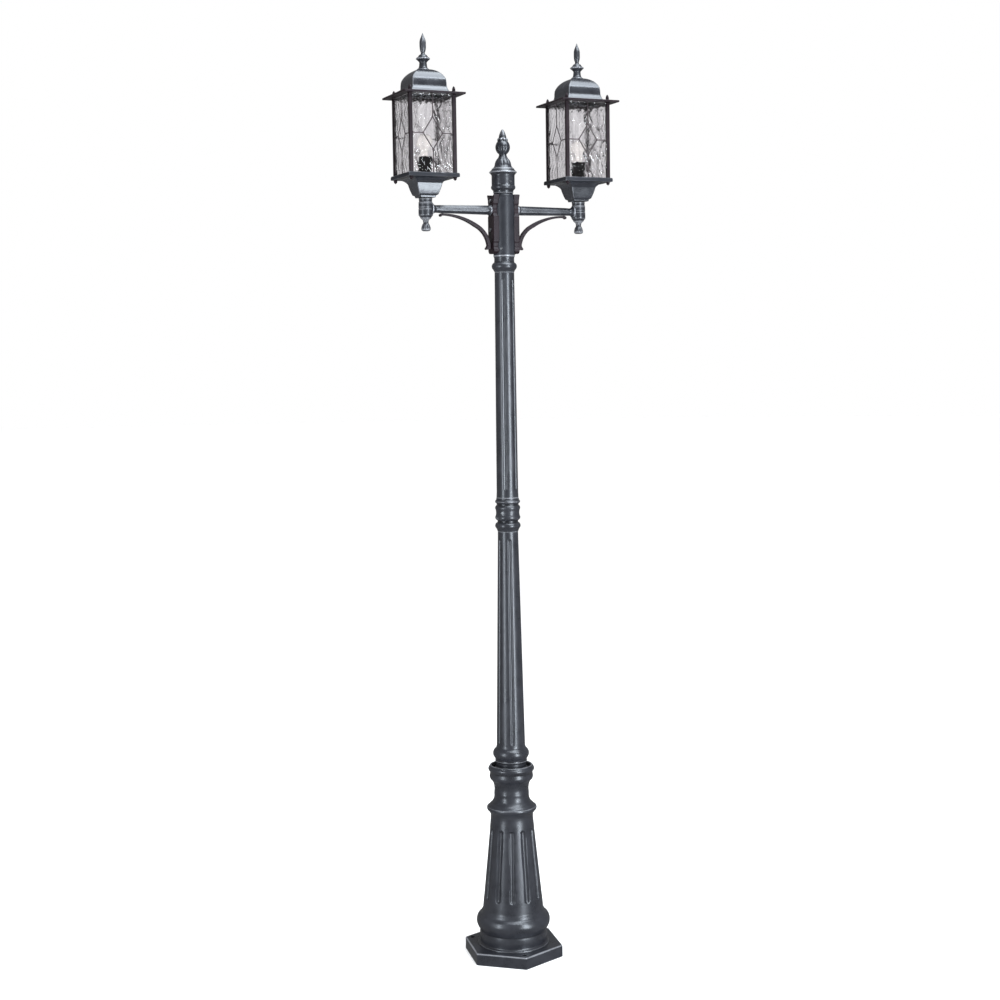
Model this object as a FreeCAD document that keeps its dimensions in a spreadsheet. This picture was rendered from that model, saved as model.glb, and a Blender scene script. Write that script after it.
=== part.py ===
import FreeCAD, Part
import math
import os
import re
import Sketcher

# A twin-arm street lamp post. A hexagonal cast pedestal carries a fluted column in two
# lengths, joined by a beaded coupling over an inner sleeve. A round hub on top takes two
# arms, and each arm holds a square glazed lantern. A lantern's roof lifts off its stud
# once its finial is unscrewed, and its lamp unscrews from the lamp holder.
#
# Frame: millimetres, +Z up, X along the arms, origin at the foot of the column's axis.

vec = FreeCAD.Vector
UP = vec(0, 0, 1)
FULL_TURN = 360

# Each driving dimension: its name in the sheet, its value, and what it is.
DIMENSIONS = [
    # pedestal
    ("flange_corner_radius", 148.8, "hexagonal flange, centre to corner"),
    ("flange_height", 35, "depth of the flange's skirt"),
    ("flange_plate", 11, "thickness of the flange under its top"),
    ("flange_wall", 8, "thickness of the flange's skirt"),
    ("flange_chamfer", 2.5, "chamfer round the flange's top edge"),
    ("anchor_circle_radius", 126, "centre to each anchor hole"),
    ("anchor_hole_radius", 6.5, "anchor hole for a 12 mm bolt"),
    ("anchor_boss_radius", 14, "boss round each anchor hole"),
    ("drum_radius", 97.5, "drum above the flange"),
    ("torus_radius", 107.5, "large ring above the drum"),
    ("shaft_bottom_radius", 88.9, "tapered fluted shaft, lower end"),
    ("shaft_bottom_up", 138, "height of the shaft's lower end"),
    ("shaft_top_radius", 61.9, "tapered fluted shaft, upper end"),
    ("shaft_top_up", 409, "height of the shaft's upper end"),
    ("ring_radius", 73.1, "ring above the shaft"),
    ("waist_radius", 49.9, "waist under the cup"),
    ("cup_radius", 67.3, "cup at the top of the pedestal"),
    ("cup_floor_up", 552, "height of the floor that the column stands on"),
    ("cup_mouth_radius", 57, "inside of the cup's rim"),
    ("pedestal_height", 565, "top of the cup's rim"),
    ("pedestal_wall", 7, "wall thickness of the pedestal"),
    ("pedestal_flute_radius", 9, "radius of the cutter for the pedestal's flutes"),
    ("pedestal_flute_depth", 5, "depth of the pedestal's flutes"),
    # column
    ("spigot_radius", 40, "spigot of the lower column in the pedestal"),
    ("spigot_length", 80, "depth of that spigot"),
    ("spigot_gap", 0.15, "clearance round the spigot"),
    ("lower_foot_radius", 41.4, "lower column, above its foot mouldings"),
    ("lower_top_radius", 29.2, "lower column, upper end"),
    ("lower_top_up", 1249, "height of the lower column's top"),
    ("lower_bore_radius", 35.5, "bore of the lower column at its foot"),
    ("column_flute_radius", 6.2, "radius of the cutter for the column's flutes"),
    ("column_flute_depth", 3, "depth of the column's flutes"),
    ("coupling_height", 98, "coupling between the two column lengths"),
    ("coupling_radius", 36.5, "beads of the coupling"),
    ("sleeve_radius", 24.8, "inner sleeve of the coupling"),
    ("sleeve_wall", 3.3, "wall thickness of the sleeve"),
    ("sleeve_length", 205, "length of the sleeve"),
    ("sleeve_bore_radius", 25.05, "bore of the columns over the sleeve"),
    ("upper_height", 642, "length of the upper column"),
    ("upper_foot_radius", 31, "upper column, lower end"),
    ("upper_top_radius", 27.9, "upper column, upper end"),
    ("upper_bore_radius", 22.4, "bore of the upper column at its top"),
    ("collar_height", 48, "beaded collar under the hub"),
    ("collar_radius", 35.8, "bead of that collar"),
    # hub and cap
    ("hub_radius", 30.5, "round hub that carries the arms"),
    ("hub_height", 174, "height of the hub above the collar"),
    ("hub_spigot_radius", 22.2, "spigot under the hub"),
    ("hub_spigot_length", 90, "length of that spigot"),
    ("hub_bore_radius", 17.5, "bore of the hub for the wires"),
    ("cap_radius", 32.7, "drum of the post's cap"),
    ("cap_height", 69, "cap above the hub"),
    ("cap_spigot_radius", 16.9, "spigot of the cap in the hub"),
    ("cap_spigot_length", 20, "length of that spigot"),
    ("post_finial_stud_radius", 5, "threaded stud under the post's finial"),
    ("post_finial_height", 110, "finial above the cap"),
    ("post_finial_radius", 21.5, "ball of the finial"),
    # arm
    ("arm_reach", 236, "column's axis to a lantern's axis"),
    ("arm_up", 2163, "height of the arms' centreline"),
    ("arm_hub_flats", 25.5, "octagonal arm across flats at the hub"),
    ("arm_end_flats", 21, "octagonal arm across flats at the lantern"),
    ("arm_bore_radius", 5.5, "bore of the arm for the wires"),
    ("arm_plate_reach", 40, "column's axis to the arm plate's outer face"),
    ("arm_plate_width", 42, "width of the arm plate"),
    ("arm_plate_height", 166, "height of the arm plate"),
    ("arm_plate_up", 2041, "height of the arm plate's lower end"),
    ("arm_plate_inset", 22, "column's axis to the arm plate's inner edge"),
    ("brace_width", 12, "width of the flat brace"),
    ("brace_span", 145, "brace from its foot out to its tip"),
    ("brace_rise", 94, "brace from its foot up to its tip"),
    # arm socket and drop finial
    ("socket_radius", 20, "barrel at the arm's end"),
    ("socket_up", 2134, "height of the barrel's lower end"),
    ("socket_height", 56, "length of the barrel"),
    ("rod_radius", 5, "hollow threaded rod through the barrel"),
    ("rod_wall", 1.5, "wall thickness of the rod"),
    ("rod_length", 150, "length of the rod"),
    ("rod_gap", 0.2, "clearance round the rod"),
    ("drop_finial_radius", 13.7, "knob of the drop finial"),
    ("drop_finial_height", 33, "length of the drop finial"),
    ("gasket_thickness", 3, "gasket between barrel and tray"),
    # lantern
    ("tray_side", 149.5, "square tray"),
    ("tray_height", 63, "tray from its foot to its top"),
    ("tray_rim", 11, "depth of the tray's rim"),
    ("frame_side", 138, "outer square of the corner posts"),
    ("frame_height", 212, "length of the corner posts"),
    ("corner_post_side", 10, "section of a corner post"),
    ("frame_stud_radius", 2.4, "threaded ends of the corner posts"),
    ("frame_nut_radius", 5.2, "cap nuts on those ends"),
    ("upper_nut_height", 18, "height of a cap nut above the eave"),
    ("lower_nut_height", 10.5, "height of a cap nut under the tray"),
    ("pane_thickness", 3, "glass pane"),
    ("pane_gap", 0.2, "clearance round a pane"),
    ("came_width", 3.2, "lead came across a pane"),
    ("came_depth", 1.5, "thickness of the came"),
    ("diamond_width", 57, "diamond in the came"),
    ("diamond_height", 87, "diamond in the came"),
    ("eave_side", 180, "square eave plate"),
    ("eave_thickness", 5, "thickness of the eave plate"),
    ("eave_opening", 100, "lamp opening in the eave plate"),
    ("bridge_length", 113, "bridge bar under the eave plate"),
    ("bridge_width", 8, "width of the bridge bar"),
    ("bridge_thickness", 3, "thickness of the bridge bar"),
    ("roof_stud_radius", 3, "stud on the bridge bar"),
    ("roof_stud_height", 92, "stud above the bridge bar's foot"),
    ("roof_half_side", 58, "roof skirt, half its side"),
    ("roof_height", 68, "height of the roof"),
    ("roof_wall", 3, "wall thickness of the roof"),
    ("roof_finial_radius", 19.5, "disc of the roof finial"),
    ("roof_finial_height", 101, "height of the roof finial"),
    ("stud_gap", 0.08, "running clearance of the roof finial on its stud"),
    ("seat_gap", 0.1, "clearance under the roof and under its finial"),
    # lamp and lamp holder
    ("holder_radius", 20, "lamp holder"),
    ("holder_height", 53, "height of the lamp holder"),
    ("holder_floor", 14, "thickness of the lamp holder's floor"),
    ("lamp_cap_radius", 13.2, "screw cap of the lamp"),
    ("lamp_cap_height", 27, "height of that cap"),
    ("lamp_gap", 0.08, "running clearance of the cap in the holder"),
    ("bulb_radius", 22.5, "glass bulb of the lamp"),
    ("bulb_height", 73, "glass bulb above its cap"),
    ("bulb_wall", 0.9, "thickness of the bulb's glass"),
    # terminal board in the pedestal
    ("board_length", 158, "steel strip across the pedestal"),
    ("board_width", 24, "width of the strip"),
    ("board_thickness", 3, "thickness of the strip"),
    ("board_up", 150, "height of the strip"),
    ("block_length", 60, "terminal block"),
    ("block_width", 20, "width of the terminal block"),
    ("block_height", 18, "height of the terminal block"),
    # set screws
    ("set_screw_radius", 3, "set screws of the post"),
    ("set_screw_gap", 0.1, "clearance of a set screw in its hole"),
]

FLANGE_TURN = 20.6              # one corner of the flange, degrees round from +X
ANCHOR_COUNT = 3
PEDESTAL_FLUTES = 12
PEDESTAL_FLUTE_TURN = 35.6
COLUMN_FLUTES = 6
LOWER_FLUTE_TURN = -105.6
UPPER_FLUTE_TURN = -121.6
SET_SCREWS = 3
PEDESTAL_SCREW_TURN = 66.4
COUPLING_SCREW_TURN = -142
HUB_SCREW_TURN = -128
CAP_SCREW_TURN = -75
SIDES = (("left", -1, 180), ("right", 1, 0))

doc = FreeCAD.newDocument("street_lamp_post")
sheet = doc.addObject("Spreadsheet::Sheet", "dims")
nodes = []


def fill_sheet():
    """Write each dimension's note, value and alias in a row of its own."""
    for row, (name, value, note) in enumerate(DIMENSIONS, start=1):
        sheet.set(f"A{row}", note)
        sheet.set(f"B{row}", str(value))
        sheet.setAlias(f"B{row}", name)
    doc.recompute()


def formula(text):
    """A formula whose words are names in the sheet, as an expression of the document."""
    return re.sub(r"[a-z][a-z_]+", lambda word: "dims." + word.group(0), str(text))


def number(text):
    """The present value of a formula."""
    return float(sheet.evalExpression(formula(text)))


def is_bound(text):
    """Whether a formula names a dimension of the sheet."""
    return bool(re.search("[a-z]", str(text)))


def plane_of(body, role):
    """One of a body's own origin planes or axes."""
    return next(item for item in body.Origin.OriginFeatures if item.Role == role)


def arc_between(start, end, bow):
    """The arc from start to end that bulges by bow to the right, or left if negative."""
    chord = end - start
    right = vec(chord.y, -chord.x, 0) / chord.Length
    radius = (chord.Length ** 2 / 4 + bow ** 2) / (2 * abs(bow))
    crown = (start + end) / 2 + right * bow
    centre = crown - right * math.copysign(radius, bow)
    first, last = (start, end) if bow > 0 else (end, start)
    begin = math.atan2(first.y - centre.y, first.x - centre.x)
    finish = math.atan2(last.y - centre.y, last.x - centre.x)
    if finish < begin:
        finish += 2 * math.pi
    return Part.ArcOfCircle(Part.Circle(centre, UP, radius), begin, finish)


def add_constraint(sketch, kind, values, text):
    """A constraint with a size, bound to the sheet where its formula names a dimension."""
    index = sketch.addConstraint(Sketcher.Constraint(kind, *values, number(text)))
    if is_bound(text):
        sketch.setExpression(f"Constraints[{index}]", formula(text))


def draw_outline(sketch, points):
    """A closed outline anticlockwise through points (across, up) or (across, up, bow)."""
    places = [vec(number(point[0]), number(point[1]), 0) for point in points]
    first = sketch.GeometryCount
    count = len(points)
    ends = []
    radii = []
    for index in range(count):
        following = (index + 1) % count
        arrival = points[following]
        bow = number(arrival[2]) if len(arrival) > 2 else 0
        if bow == 0:
            sketch.addGeometry(Part.LineSegment(places[index], places[following]))
        else:
            arc = arc_between(places[index], places[following], bow)
            sketch.addGeometry(arc)
            radii.append((first + index, arc.Radius))
        ends.append((1, 2) if bow >= 0 else (2, 1))
    joints = []
    for index in range(count):
        following = (index + 1) % count
        joints.append(Sketcher.Constraint("Coincident", first + index, ends[index][1],
                                          first + following, ends[following][0]))
    for index, place in enumerate(places):
        corner = (first + index, ends[index][0])
        if place.x == 0:
            joints.append(Sketcher.Constraint("PointOnObject", *corner, -2))
        if place.y == 0:
            joints.append(Sketcher.Constraint("PointOnObject", *corner, -1))
    for edge, radius in radii:
        joints.append(Sketcher.Constraint("Radius", edge, radius))
    sketch.addConstraint(joints)
    for index, place in enumerate(places):
        corner = (first + index, ends[index][0])
        if place.x != 0:
            add_constraint(sketch, "DistanceX", (-1, 1) + corner, points[index][0])
        if place.y != 0:
            add_constraint(sketch, "DistanceY", (-1, 1) + corner, points[index][1])


def draw_circle(sketch, across, up, radius):
    """A circle about (across, up)."""
    centre = vec(number(across), number(up), 0)
    edge = sketch.addGeometry(Part.Circle(centre, UP, number(radius)))
    add_constraint(sketch, "Radius", (edge,), radius)
    for kind, axis, place, text in (("DistanceX", -2, centre.x, across),
                                    ("DistanceY", -1, centre.y, up)):
        if place == 0:
            sketch.addConstraint(Sketcher.Constraint("PointOnObject", edge, 3, axis))
        else:
            add_constraint(sketch, kind, (-1, 1, edge, 3), text)


def box_outline(left, low, right, high):
    """The corners of an upright rectangle."""
    return [(left, low), (right, low), (right, high), (left, high)]


def new_body(label):
    """An empty body that may hold several separate solids."""
    body = doc.addObject("PartDesign::Body", label)
    body.Label = label
    body.AllowCompound = True
    nodes.append(body)
    return body


def new_sketch(body, name, role="XY_Plane", lift="", turn=0):
    """A sketch on an origin plane, lifted off it and turned about the plane's upright."""
    sketch = body.newObject("Sketcher::SketchObject", f"{body.Name}_{name}")
    sketch.AttachmentSupport = (plane_of(body, role), [""])
    sketch.MapMode = "FlatFace"
    upright = vec(0, 0, 1) if role == "XY_Plane" else vec(0, 1, 0)
    rotation = FreeCAD.Rotation(upright, turn)
    sketch.AttachmentOffset = FreeCAD.Placement(vec(0, 0, 0), rotation)
    outward = rotation.multVec(vec(0, 0, 1))
    for axis, share in (("x", outward.x), ("z", outward.z)) if lift else ():
        sketch.setExpression(f".AttachmentOffset.Base.{axis}", formula(f"{share:.9f} * ({lift})"))
    return sketch


def add_feature(body, kind, name, sketch, **settings):
    """A sketch-based feature, whose settings that name dimensions are bound to the sheet."""
    feature = body.newObject("PartDesign::" + kind, f"{body.Name}_{name}")
    feature.Profile = sketch
    for setting, value in settings.items():
        if setting == "Length" and is_bound(value):
            feature.setExpression(setting, formula(value))
        elif setting == "Length":
            feature.Length = number(value)
        else:
            setattr(feature, setting, value)
    return feature


def pad(body, name, sketch, length, **settings):
    """Material raised from a sketch."""
    return add_feature(body, "Pad", name, sketch, Length=length, **settings)


def volume_of(body):
    """A body's volume after a recompute."""
    doc.recompute()
    return body.Shape.Volume


def remove(body, kind, name, sketch, **settings):
    """Material cut by a sketch, turned about if its first direction cuts nothing."""
    before = volume_of(body)
    feature = add_feature(body, kind, name, sketch, **settings)
    if volume_of(body) >= before - 1e-6:
        feature.Reversed = not feature.Reversed
        if volume_of(body) >= before - 1e-6:
            raise RuntimeError(f"{name} on {body.Label} cuts nothing")
    return feature


def pattern(body, features, count):
    """Copies of features round the body's own upright axis."""
    body_pattern = body.newObject("PartDesign::PolarPattern", f"{body.Name}_round")
    body_pattern.Originals = features
    body_pattern.Axis = (plane_of(body, "Z_Axis"), [""])
    body_pattern.Angle = FULL_TURN
    body_pattern.Occurrences = count
    body.Tip = body_pattern
    return body_pattern


def place(item, across="0", up="0", turn=0):
    """Put a piece at its height and distance from the column, turned about the vertical."""
    item.Placement = FreeCAD.Placement(vec(0, 0, 0), FreeCAD.Rotation(UP, turn))
    item.setExpression(".Placement.Base.x", formula(across))
    item.setExpression(".Placement.Base.z", formula(up))


def turned_body(label, outline):
    """A body turned about its upright axis."""
    body = new_body(label)
    sketch = new_sketch(body, "outline", "XZ_Plane")
    draw_outline(sketch, outline)
    add_feature(body, "Revolution", "turning", sketch,
                ReferenceAxis=(sketch, ["V_Axis"]), Angle=FULL_TURN)
    return body


def cut_flutes(body, count, turn, foot, head, cutter, depth):
    """Round-ended flutes sunk in a tapered wall, from (radius, height) foot to head."""
    foot_radius, foot_up = (number(text) for text in foot)
    head_radius, head_up = (number(text) for text in head)
    lean = math.degrees(math.atan2(foot_radius - head_radius, head_up - foot_up))
    length = math.hypot(foot_radius - head_radius, head_up - foot_up)
    start = foot_radius + number(cutter) - number(depth)
    sketch = new_sketch(body, "flute", "XZ_Plane")
    sketch.AttachmentOffset = (
        FreeCAD.Placement(vec(0, 0, 0), FreeCAD.Rotation(vec(0, 1, 0), turn))
        * FreeCAD.Placement(vec(start, foot_up, 0), FreeCAD.Rotation(UP, lean)))
    rounding = number(cutter) * (1 - math.sqrt(0.5))
    draw_outline(sketch, [
        ("0", "0"),
        (cutter, cutter, rounding),
        (cutter, f"{length} - {cutter}"),
        ("0", str(length), rounding)])
    groove = remove(body, "Groove", "fluting", sketch,
                    ReferenceAxis=(sketch, ["V_Axis"]), Angle=FULL_TURN)
    pattern(body, [groove], count)


def bore_across(body, name, up, radius, role="XZ_Plane", turn=0):
    """A level hole from the body's axis out through one side."""
    sketch = new_sketch(body, name + "_circle", role, turn=turn)
    draw_circle(sketch, "0", up, radius)
    return remove(body, "Pocket", name, sketch, Type="ThroughAll", Reversed=True)


def screw_holes(body, up, turn, count):
    """Holes for set screws, evenly spaced, the first one turned from +X."""
    quarter = 90
    hole = bore_across(body, "screw_hole", up, "set_screw_radius + set_screw_gap",
                       turn=turn + quarter)
    if count > 1:
        pattern(body, [hole], count)


def set_screws(label, up, turn, count, inner, outer):
    """A ring of set screws with hexagon sockets, from radius inner to radius outer."""
    socket_depth = 2.5
    quarter = 90
    body = new_body(label)
    shank = new_sketch(body, "shank", "XZ_Plane", inner, turn + quarter)
    draw_circle(shank, "0", "0", "set_screw_radius")
    features = [pad(body, "screw", shank, f"{outer} - ({inner})")]
    end = new_sketch(body, "socket", "XZ_Plane", outer, turn + quarter)
    half_flats = 0.45
    side = 0.52
    draw_outline(end, [
        (f"-{half_flats} * set_screw_radius", f"-{side} / 2 * set_screw_radius"),
        ("0", f"-{side} * set_screw_radius"),
        (f"{half_flats} * set_screw_radius", f"-{side} / 2 * set_screw_radius"),
        (f"{half_flats} * set_screw_radius", f"{side} / 2 * set_screw_radius"),
        ("0", f"{side} * set_screw_radius"),
        (f"-{half_flats} * set_screw_radius", f"{side} / 2 * set_screw_radius")])
    features.append(remove(body, "Pocket", "key", end, Length=socket_depth))
    if count > 1:
        pattern(body, features, count)
    place(body, "0", up)


# --- pedestal -------------------------------------------------------------------------

def hexagon(radius):
    """The corners of a hexagon with the given centre to corner size."""
    half = 0.5
    rise = math.sqrt(0.75)
    return [(radius, "0"), (f"{half} * ({radius})", f"{rise} * ({radius})"),
            (f"-{half} * ({radius})", f"{rise} * ({radius})"), (f"-({radius})", "0"),
            (f"-{half} * ({radius})", f"-{rise} * ({radius})"),
            (f"{half} * ({radius})", f"-{rise} * ({radius})")]


def base_pedestal():
    """Hollow casting: hexagonal flange, drum, rings, fluted shaft, and cup for the column."""
    body = new_body("base_pedestal")
    flange = new_sketch(body, "flange", turn=FLANGE_TURN)
    draw_outline(flange, hexagon("flange_corner_radius"))
    flange_pad = pad(body, "flange", flange, "flange_height")
    doc.recompute()
    chamfer = body.newObject("PartDesign::Chamfer", "base_pedestal_edge")
    top_face = max(range(len(flange_pad.Shape.Faces)),
                   key=lambda index: flange_pad.Shape.Faces[index].CenterOfMass.z)
    chamfer.Base = (flange_pad, [f"Face{top_face + 1}"])
    chamfer.setExpression("Size", "dims.flange_chamfer")
    under = new_sketch(body, "under", turn=FLANGE_TURN)
    draw_outline(under, hexagon("flange_corner_radius - flange_wall * 1.1547"))
    remove(body, "Pocket", "under_flange", under, Length="flange_height - flange_plate")
    bosses = new_sketch(body, "bosses", turn=FLANGE_TURN)
    draw_circle(bosses, "anchor_circle_radius", "0", "anchor_boss_radius")
    boss = pad(body, "boss", bosses, "flange_height - flange_plate")
    pattern(body, [boss], ANCHOR_COUNT)
    outline = new_sketch(body, "outline", "XZ_Plane")
    draw_outline(outline, [
        ("drum_radius - 10", "flange_height - 2"),
        ("drum_radius + 6.5", "flange_height - 2"),
        ("drum_radius + 6.5", "flange_height + 3"),
        ("drum_radius", "flange_height + 9", "-2"),
        ("drum_radius", "flange_height + 40", "1.6"),
        ("drum_radius + 3.6", "flange_height + 47"),
        ("torus_radius - 4", "flange_height + 52"),
        ("torus_radius - 5.4", "flange_height + 85", "4.9"),
        ("shaft_bottom_radius + 3.4", "shaft_bottom_up - 6", "-2"),
        ("shaft_bottom_radius", "shaft_bottom_up"),
        ("shaft_top_radius", "shaft_top_up"),
        ("shaft_top_radius", "shaft_top_up + 7"),
        ("ring_radius - 8.7", "shaft_top_up + 15", "-0.8"),
        ("ring_radius - 2.5", "shaft_top_up + 23", "-0.6"),
        ("ring_radius - 1.8", "shaft_top_up + 34", "1.9"),
        ("ring_radius - 7.5", "shaft_top_up + 38", "-0.5"),
        ("ring_radius - 11.3", "shaft_top_up + 42", "0.6"),
        ("waist_radius + 1.2", "shaft_top_up + 72", "-4.2"),
        ("waist_radius", "shaft_top_up + 84", "-0.2"),
        ("waist_radius + 2.2", "shaft_top_up + 101", "-0.6"),
        ("cup_radius - 9.3", "pedestal_height - 44", "-0.6"),
        ("cup_radius - 5.5", "pedestal_height - 40", "0.5"),
        ("cup_radius - 4.5", "pedestal_height - 28", "1.2"),
        ("cup_radius - 5.6", "pedestal_height - 22"),
        ("cup_radius - 3.9", "pedestal_height - 18"),
        ("cup_radius - 3.8", "pedestal_height - 4", "3.6"),
        ("cup_radius - 6.5", "pedestal_height", "1"),
        ("cup_mouth_radius + 1.5", "pedestal_height", "0.6"),
        ("cup_mouth_radius", "pedestal_height - 3", "0.6"),
        ("cup_mouth_radius - 2", "cup_floor_up", "0.4"),
        ("spigot_radius + spigot_gap", "cup_floor_up"),
        ("spigot_radius + spigot_gap", "cup_floor_up - spigot_length - 6"),
        ("shaft_top_radius - pedestal_wall - 2", "shaft_top_up + 10", "-1.5"),
        ("shaft_top_radius - pedestal_wall", "shaft_top_up - 10"),
        ("shaft_bottom_radius - pedestal_wall", "shaft_bottom_up"),
        ("drum_radius - 10", "shaft_bottom_up - 22")])
    add_feature(body, "Revolution", "turning", outline,
                ReferenceAxis=(outline, ["V_Axis"]), Angle=FULL_TURN)
    inside = new_sketch(body, "inside")
    draw_circle(inside, "0", "0", "drum_radius - 10")
    remove(body, "Pocket", "cable_entry", inside, Length="flange_height + 30")
    anchors = new_sketch(body, "anchors", turn=FLANGE_TURN)
    draw_circle(anchors, "anchor_circle_radius", "0", "anchor_hole_radius")
    anchor = remove(body, "Pocket", "anchor_hole", anchors, Type="ThroughAll")
    anchor_pattern = pattern(body, [anchor], ANCHOR_COUNT)
    anchor_pattern.Label = "anchor_holes"
    cut_flutes(body, PEDESTAL_FLUTES, PEDESTAL_FLUTE_TURN,
               ("shaft_bottom_radius - 3.2", "shaft_bottom_up + 32"),
               ("shaft_top_radius + 2.6", "shaft_top_up - 26"),
               "pedestal_flute_radius", "pedestal_flute_depth")
    screw_holes(body, "shaft_top_up + 92", PEDESTAL_SCREW_TURN, SET_SCREWS)


def lower_column():
    """Tapered fluted tube with its foot mouldings and the spigot in the pedestal."""
    body = turned_body("lower_column", [
        ("lower_bore_radius", "0"),
        ("spigot_radius", "0"),
        ("spigot_radius", "spigot_length"),
        ("lower_foot_radius + 5", "spigot_length"),
        ("lower_foot_radius + 5", "spigot_length + 8", "1.2"),
        ("lower_foot_radius + 2.4", "spigot_length + 11", "-0.8"),
        ("lower_foot_radius + 2.4", "spigot_length + 22"),
        ("lower_foot_radius + 4.4", "spigot_length + 24"),
        ("lower_foot_radius + 4.4", "spigot_length + 28", "0.8"),
        ("lower_foot_radius + 7.2", "spigot_length + 36", "-0.8"),
        ("lower_foot_radius + 6", "spigot_length + 60", "4.6"),
        ("lower_foot_radius", "spigot_length + 72", "-1.5"),
        ("lower_top_radius", "lower_top_up - cup_floor_up + spigot_length"),
        ("sleeve_bore_radius", "lower_top_up - cup_floor_up + spigot_length"),
        ("sleeve_bore_radius", "lower_top_up - cup_floor_up + spigot_length - 60"),
        ("lower_bore_radius", "spigot_length + 70")])
    cut_flutes(body, COLUMN_FLUTES, LOWER_FLUTE_TURN,
               ("lower_foot_radius", "spigot_length + 76"),
               ("lower_top_radius + 0.3", "lower_top_up - cup_floor_up + spigot_length - 20"),
               "column_flute_radius", "column_flute_depth")
    place(body, "0", "cup_floor_up - spigot_length")


def column_coupling():
    """Beaded collar between the two lengths of column."""
    body = turned_body("column_coupling", [
        ("sleeve_radius + 0.1", "0"),
        ("coupling_radius - 6.7", "0"),
        ("coupling_radius - 4.9", "5", "-0.4"),
        ("coupling_radius - 3.5", "9"),
        ("coupling_radius - 3.5", "25", "3.7"),
        ("coupling_radius - 7", "27.5"),
        ("coupling_radius - 7", "31.5"),
        ("coupling_radius - 2.4", "35"),
        ("coupling_radius - 2", "46", "2"),
        ("coupling_radius - 2", "63", "-0.9"),
        ("coupling_radius - 2.4", "74", "2"),
        ("coupling_radius - 5.1", "76.5"),
        ("coupling_radius - 5.1", "80"),
        ("coupling_radius - 3.3", "81.5"),
        ("coupling_radius - 3.3", "91", "2.9"),
        ("upper_foot_radius + 0.9", "coupling_height"),
        ("sleeve_radius + 0.1", "coupling_height")])
    screw_holes(body, "54.5", COUPLING_SCREW_TURN, SET_SCREWS)
    place(body, "0", "lower_top_up")


def joint_sleeve():
    """Inner sleeve that joins the two lengths of column."""
    body = turned_body("joint_sleeve", box_outline(
        "sleeve_radius - sleeve_wall", "0", "sleeve_radius", "sleeve_length"))
    place(body, "0", "lower_top_up + coupling_height / 2 - sleeve_length / 2")


def upper_column():
    """Tapered fluted tube between the coupling and the collar."""
    body = turned_body("upper_column", [
        ("sleeve_bore_radius", "0"),
        ("upper_foot_radius + 0.9", "0"),
        ("upper_foot_radius", "18", "-0.2"),
        ("upper_top_radius", "upper_height"),
        ("upper_bore_radius", "upper_height"),
        ("upper_bore_radius", "65"),
        ("sleeve_bore_radius", "60")])
    cut_flutes(body, COLUMN_FLUTES, UPPER_FLUTE_TURN,
               ("upper_foot_radius", "20"),
               ("upper_top_radius + 0.1", "upper_height - 17"),
               "column_flute_radius", "column_flute_depth")
    place(body, "0", "lower_top_up + coupling_height")


def head_collar():
    """Beaded collar between the column and the hub."""
    body = turned_body("head_collar", [
        ("hub_spigot_radius + 0.1", "0"),
        ("collar_radius - 7.9", "0"),
        ("collar_radius - 4.4", "7", "-0.5"),
        ("collar_radius - 4", "8"),
        ("collar_radius - 4", "26", "4"),
        ("collar_radius - 7.3", "29", "-0.4"),
        ("collar_radius - 7.5", "38"),
        ("collar_radius - 5.6", "44", "-0.6"),
        ("collar_radius - 5.3", "collar_height"),
        ("hub_spigot_radius + 0.1", "collar_height")])
    place(body, "0", "lower_top_up + coupling_height + upper_height")


HUB_FOOT = "lower_top_up + coupling_height + upper_height + collar_height"


def head_hub():
    """Round hub with a spigot in the column and wire holes towards both arms."""
    body = turned_body("head_hub", [
        ("hub_bore_radius", "0"),
        ("hub_spigot_radius", "0"),
        ("hub_spigot_radius", "hub_spigot_length"),
        ("hub_radius", "hub_spigot_length"),
        ("hub_radius", "hub_spigot_length + hub_height - 9"),
        ("hub_radius - 6", "hub_spigot_length + hub_height", "1.6"),
        ("hub_bore_radius", "hub_spigot_length + hub_height")])
    wire_hole = f"arm_up - ({HUB_FOOT}) + hub_spigot_length"
    sketch = new_sketch(body, "wire_circle", "YZ_Plane")
    draw_circle(sketch, "0", wire_hole, "arm_bore_radius")
    remove(body, "Pocket", "wire_hole", sketch, Type="ThroughAll", Midplane=True)
    screw_holes(body, "hub_spigot_length + 18", HUB_SCREW_TURN, 1)
    place(body, "0", f"{HUB_FOOT} - hub_spigot_length")


def post_cap():
    """Turned cap on the hub, with the seat of the post's finial."""
    body = turned_body("post_cap", [
        ("cap_radius - 21", "0"),
        ("cap_spigot_radius", "0"),
        ("cap_spigot_radius", "cap_spigot_length"),
        ("cap_radius - 4.2", "cap_spigot_length"),
        ("cap_radius - 4.2", "cap_spigot_length + 7"),
        ("cap_radius - 1.4", "cap_spigot_length + 10"),
        ("cap_radius - 0.4", "cap_spigot_length + 22", "2.8"),
        ("cap_radius", "cap_spigot_length + 24"),
        ("cap_radius", "cap_spigot_length + 48"),
        ("cap_radius + 2.1", "cap_spigot_length + 53", "-0.8"),
        ("cap_radius + 6", "cap_spigot_length + 57", "-0.6"),
        ("cap_radius + 6", "cap_spigot_length + 60", "0.6"),
        ("cap_radius - 1.5", "cap_spigot_length + cap_height", "-1"),
        ("post_finial_stud_radius + 0.1", "cap_spigot_length + cap_height"),
        ("post_finial_stud_radius + 0.1", "cap_spigot_length + 48"),
        ("cap_radius - 21", "cap_spigot_length + 40")])
    screw_holes(body, "cap_spigot_length + 31", CAP_SCREW_TURN, 1)
    place(body, "0", f"{HUB_FOOT} + hub_height - cap_spigot_length")


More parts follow.
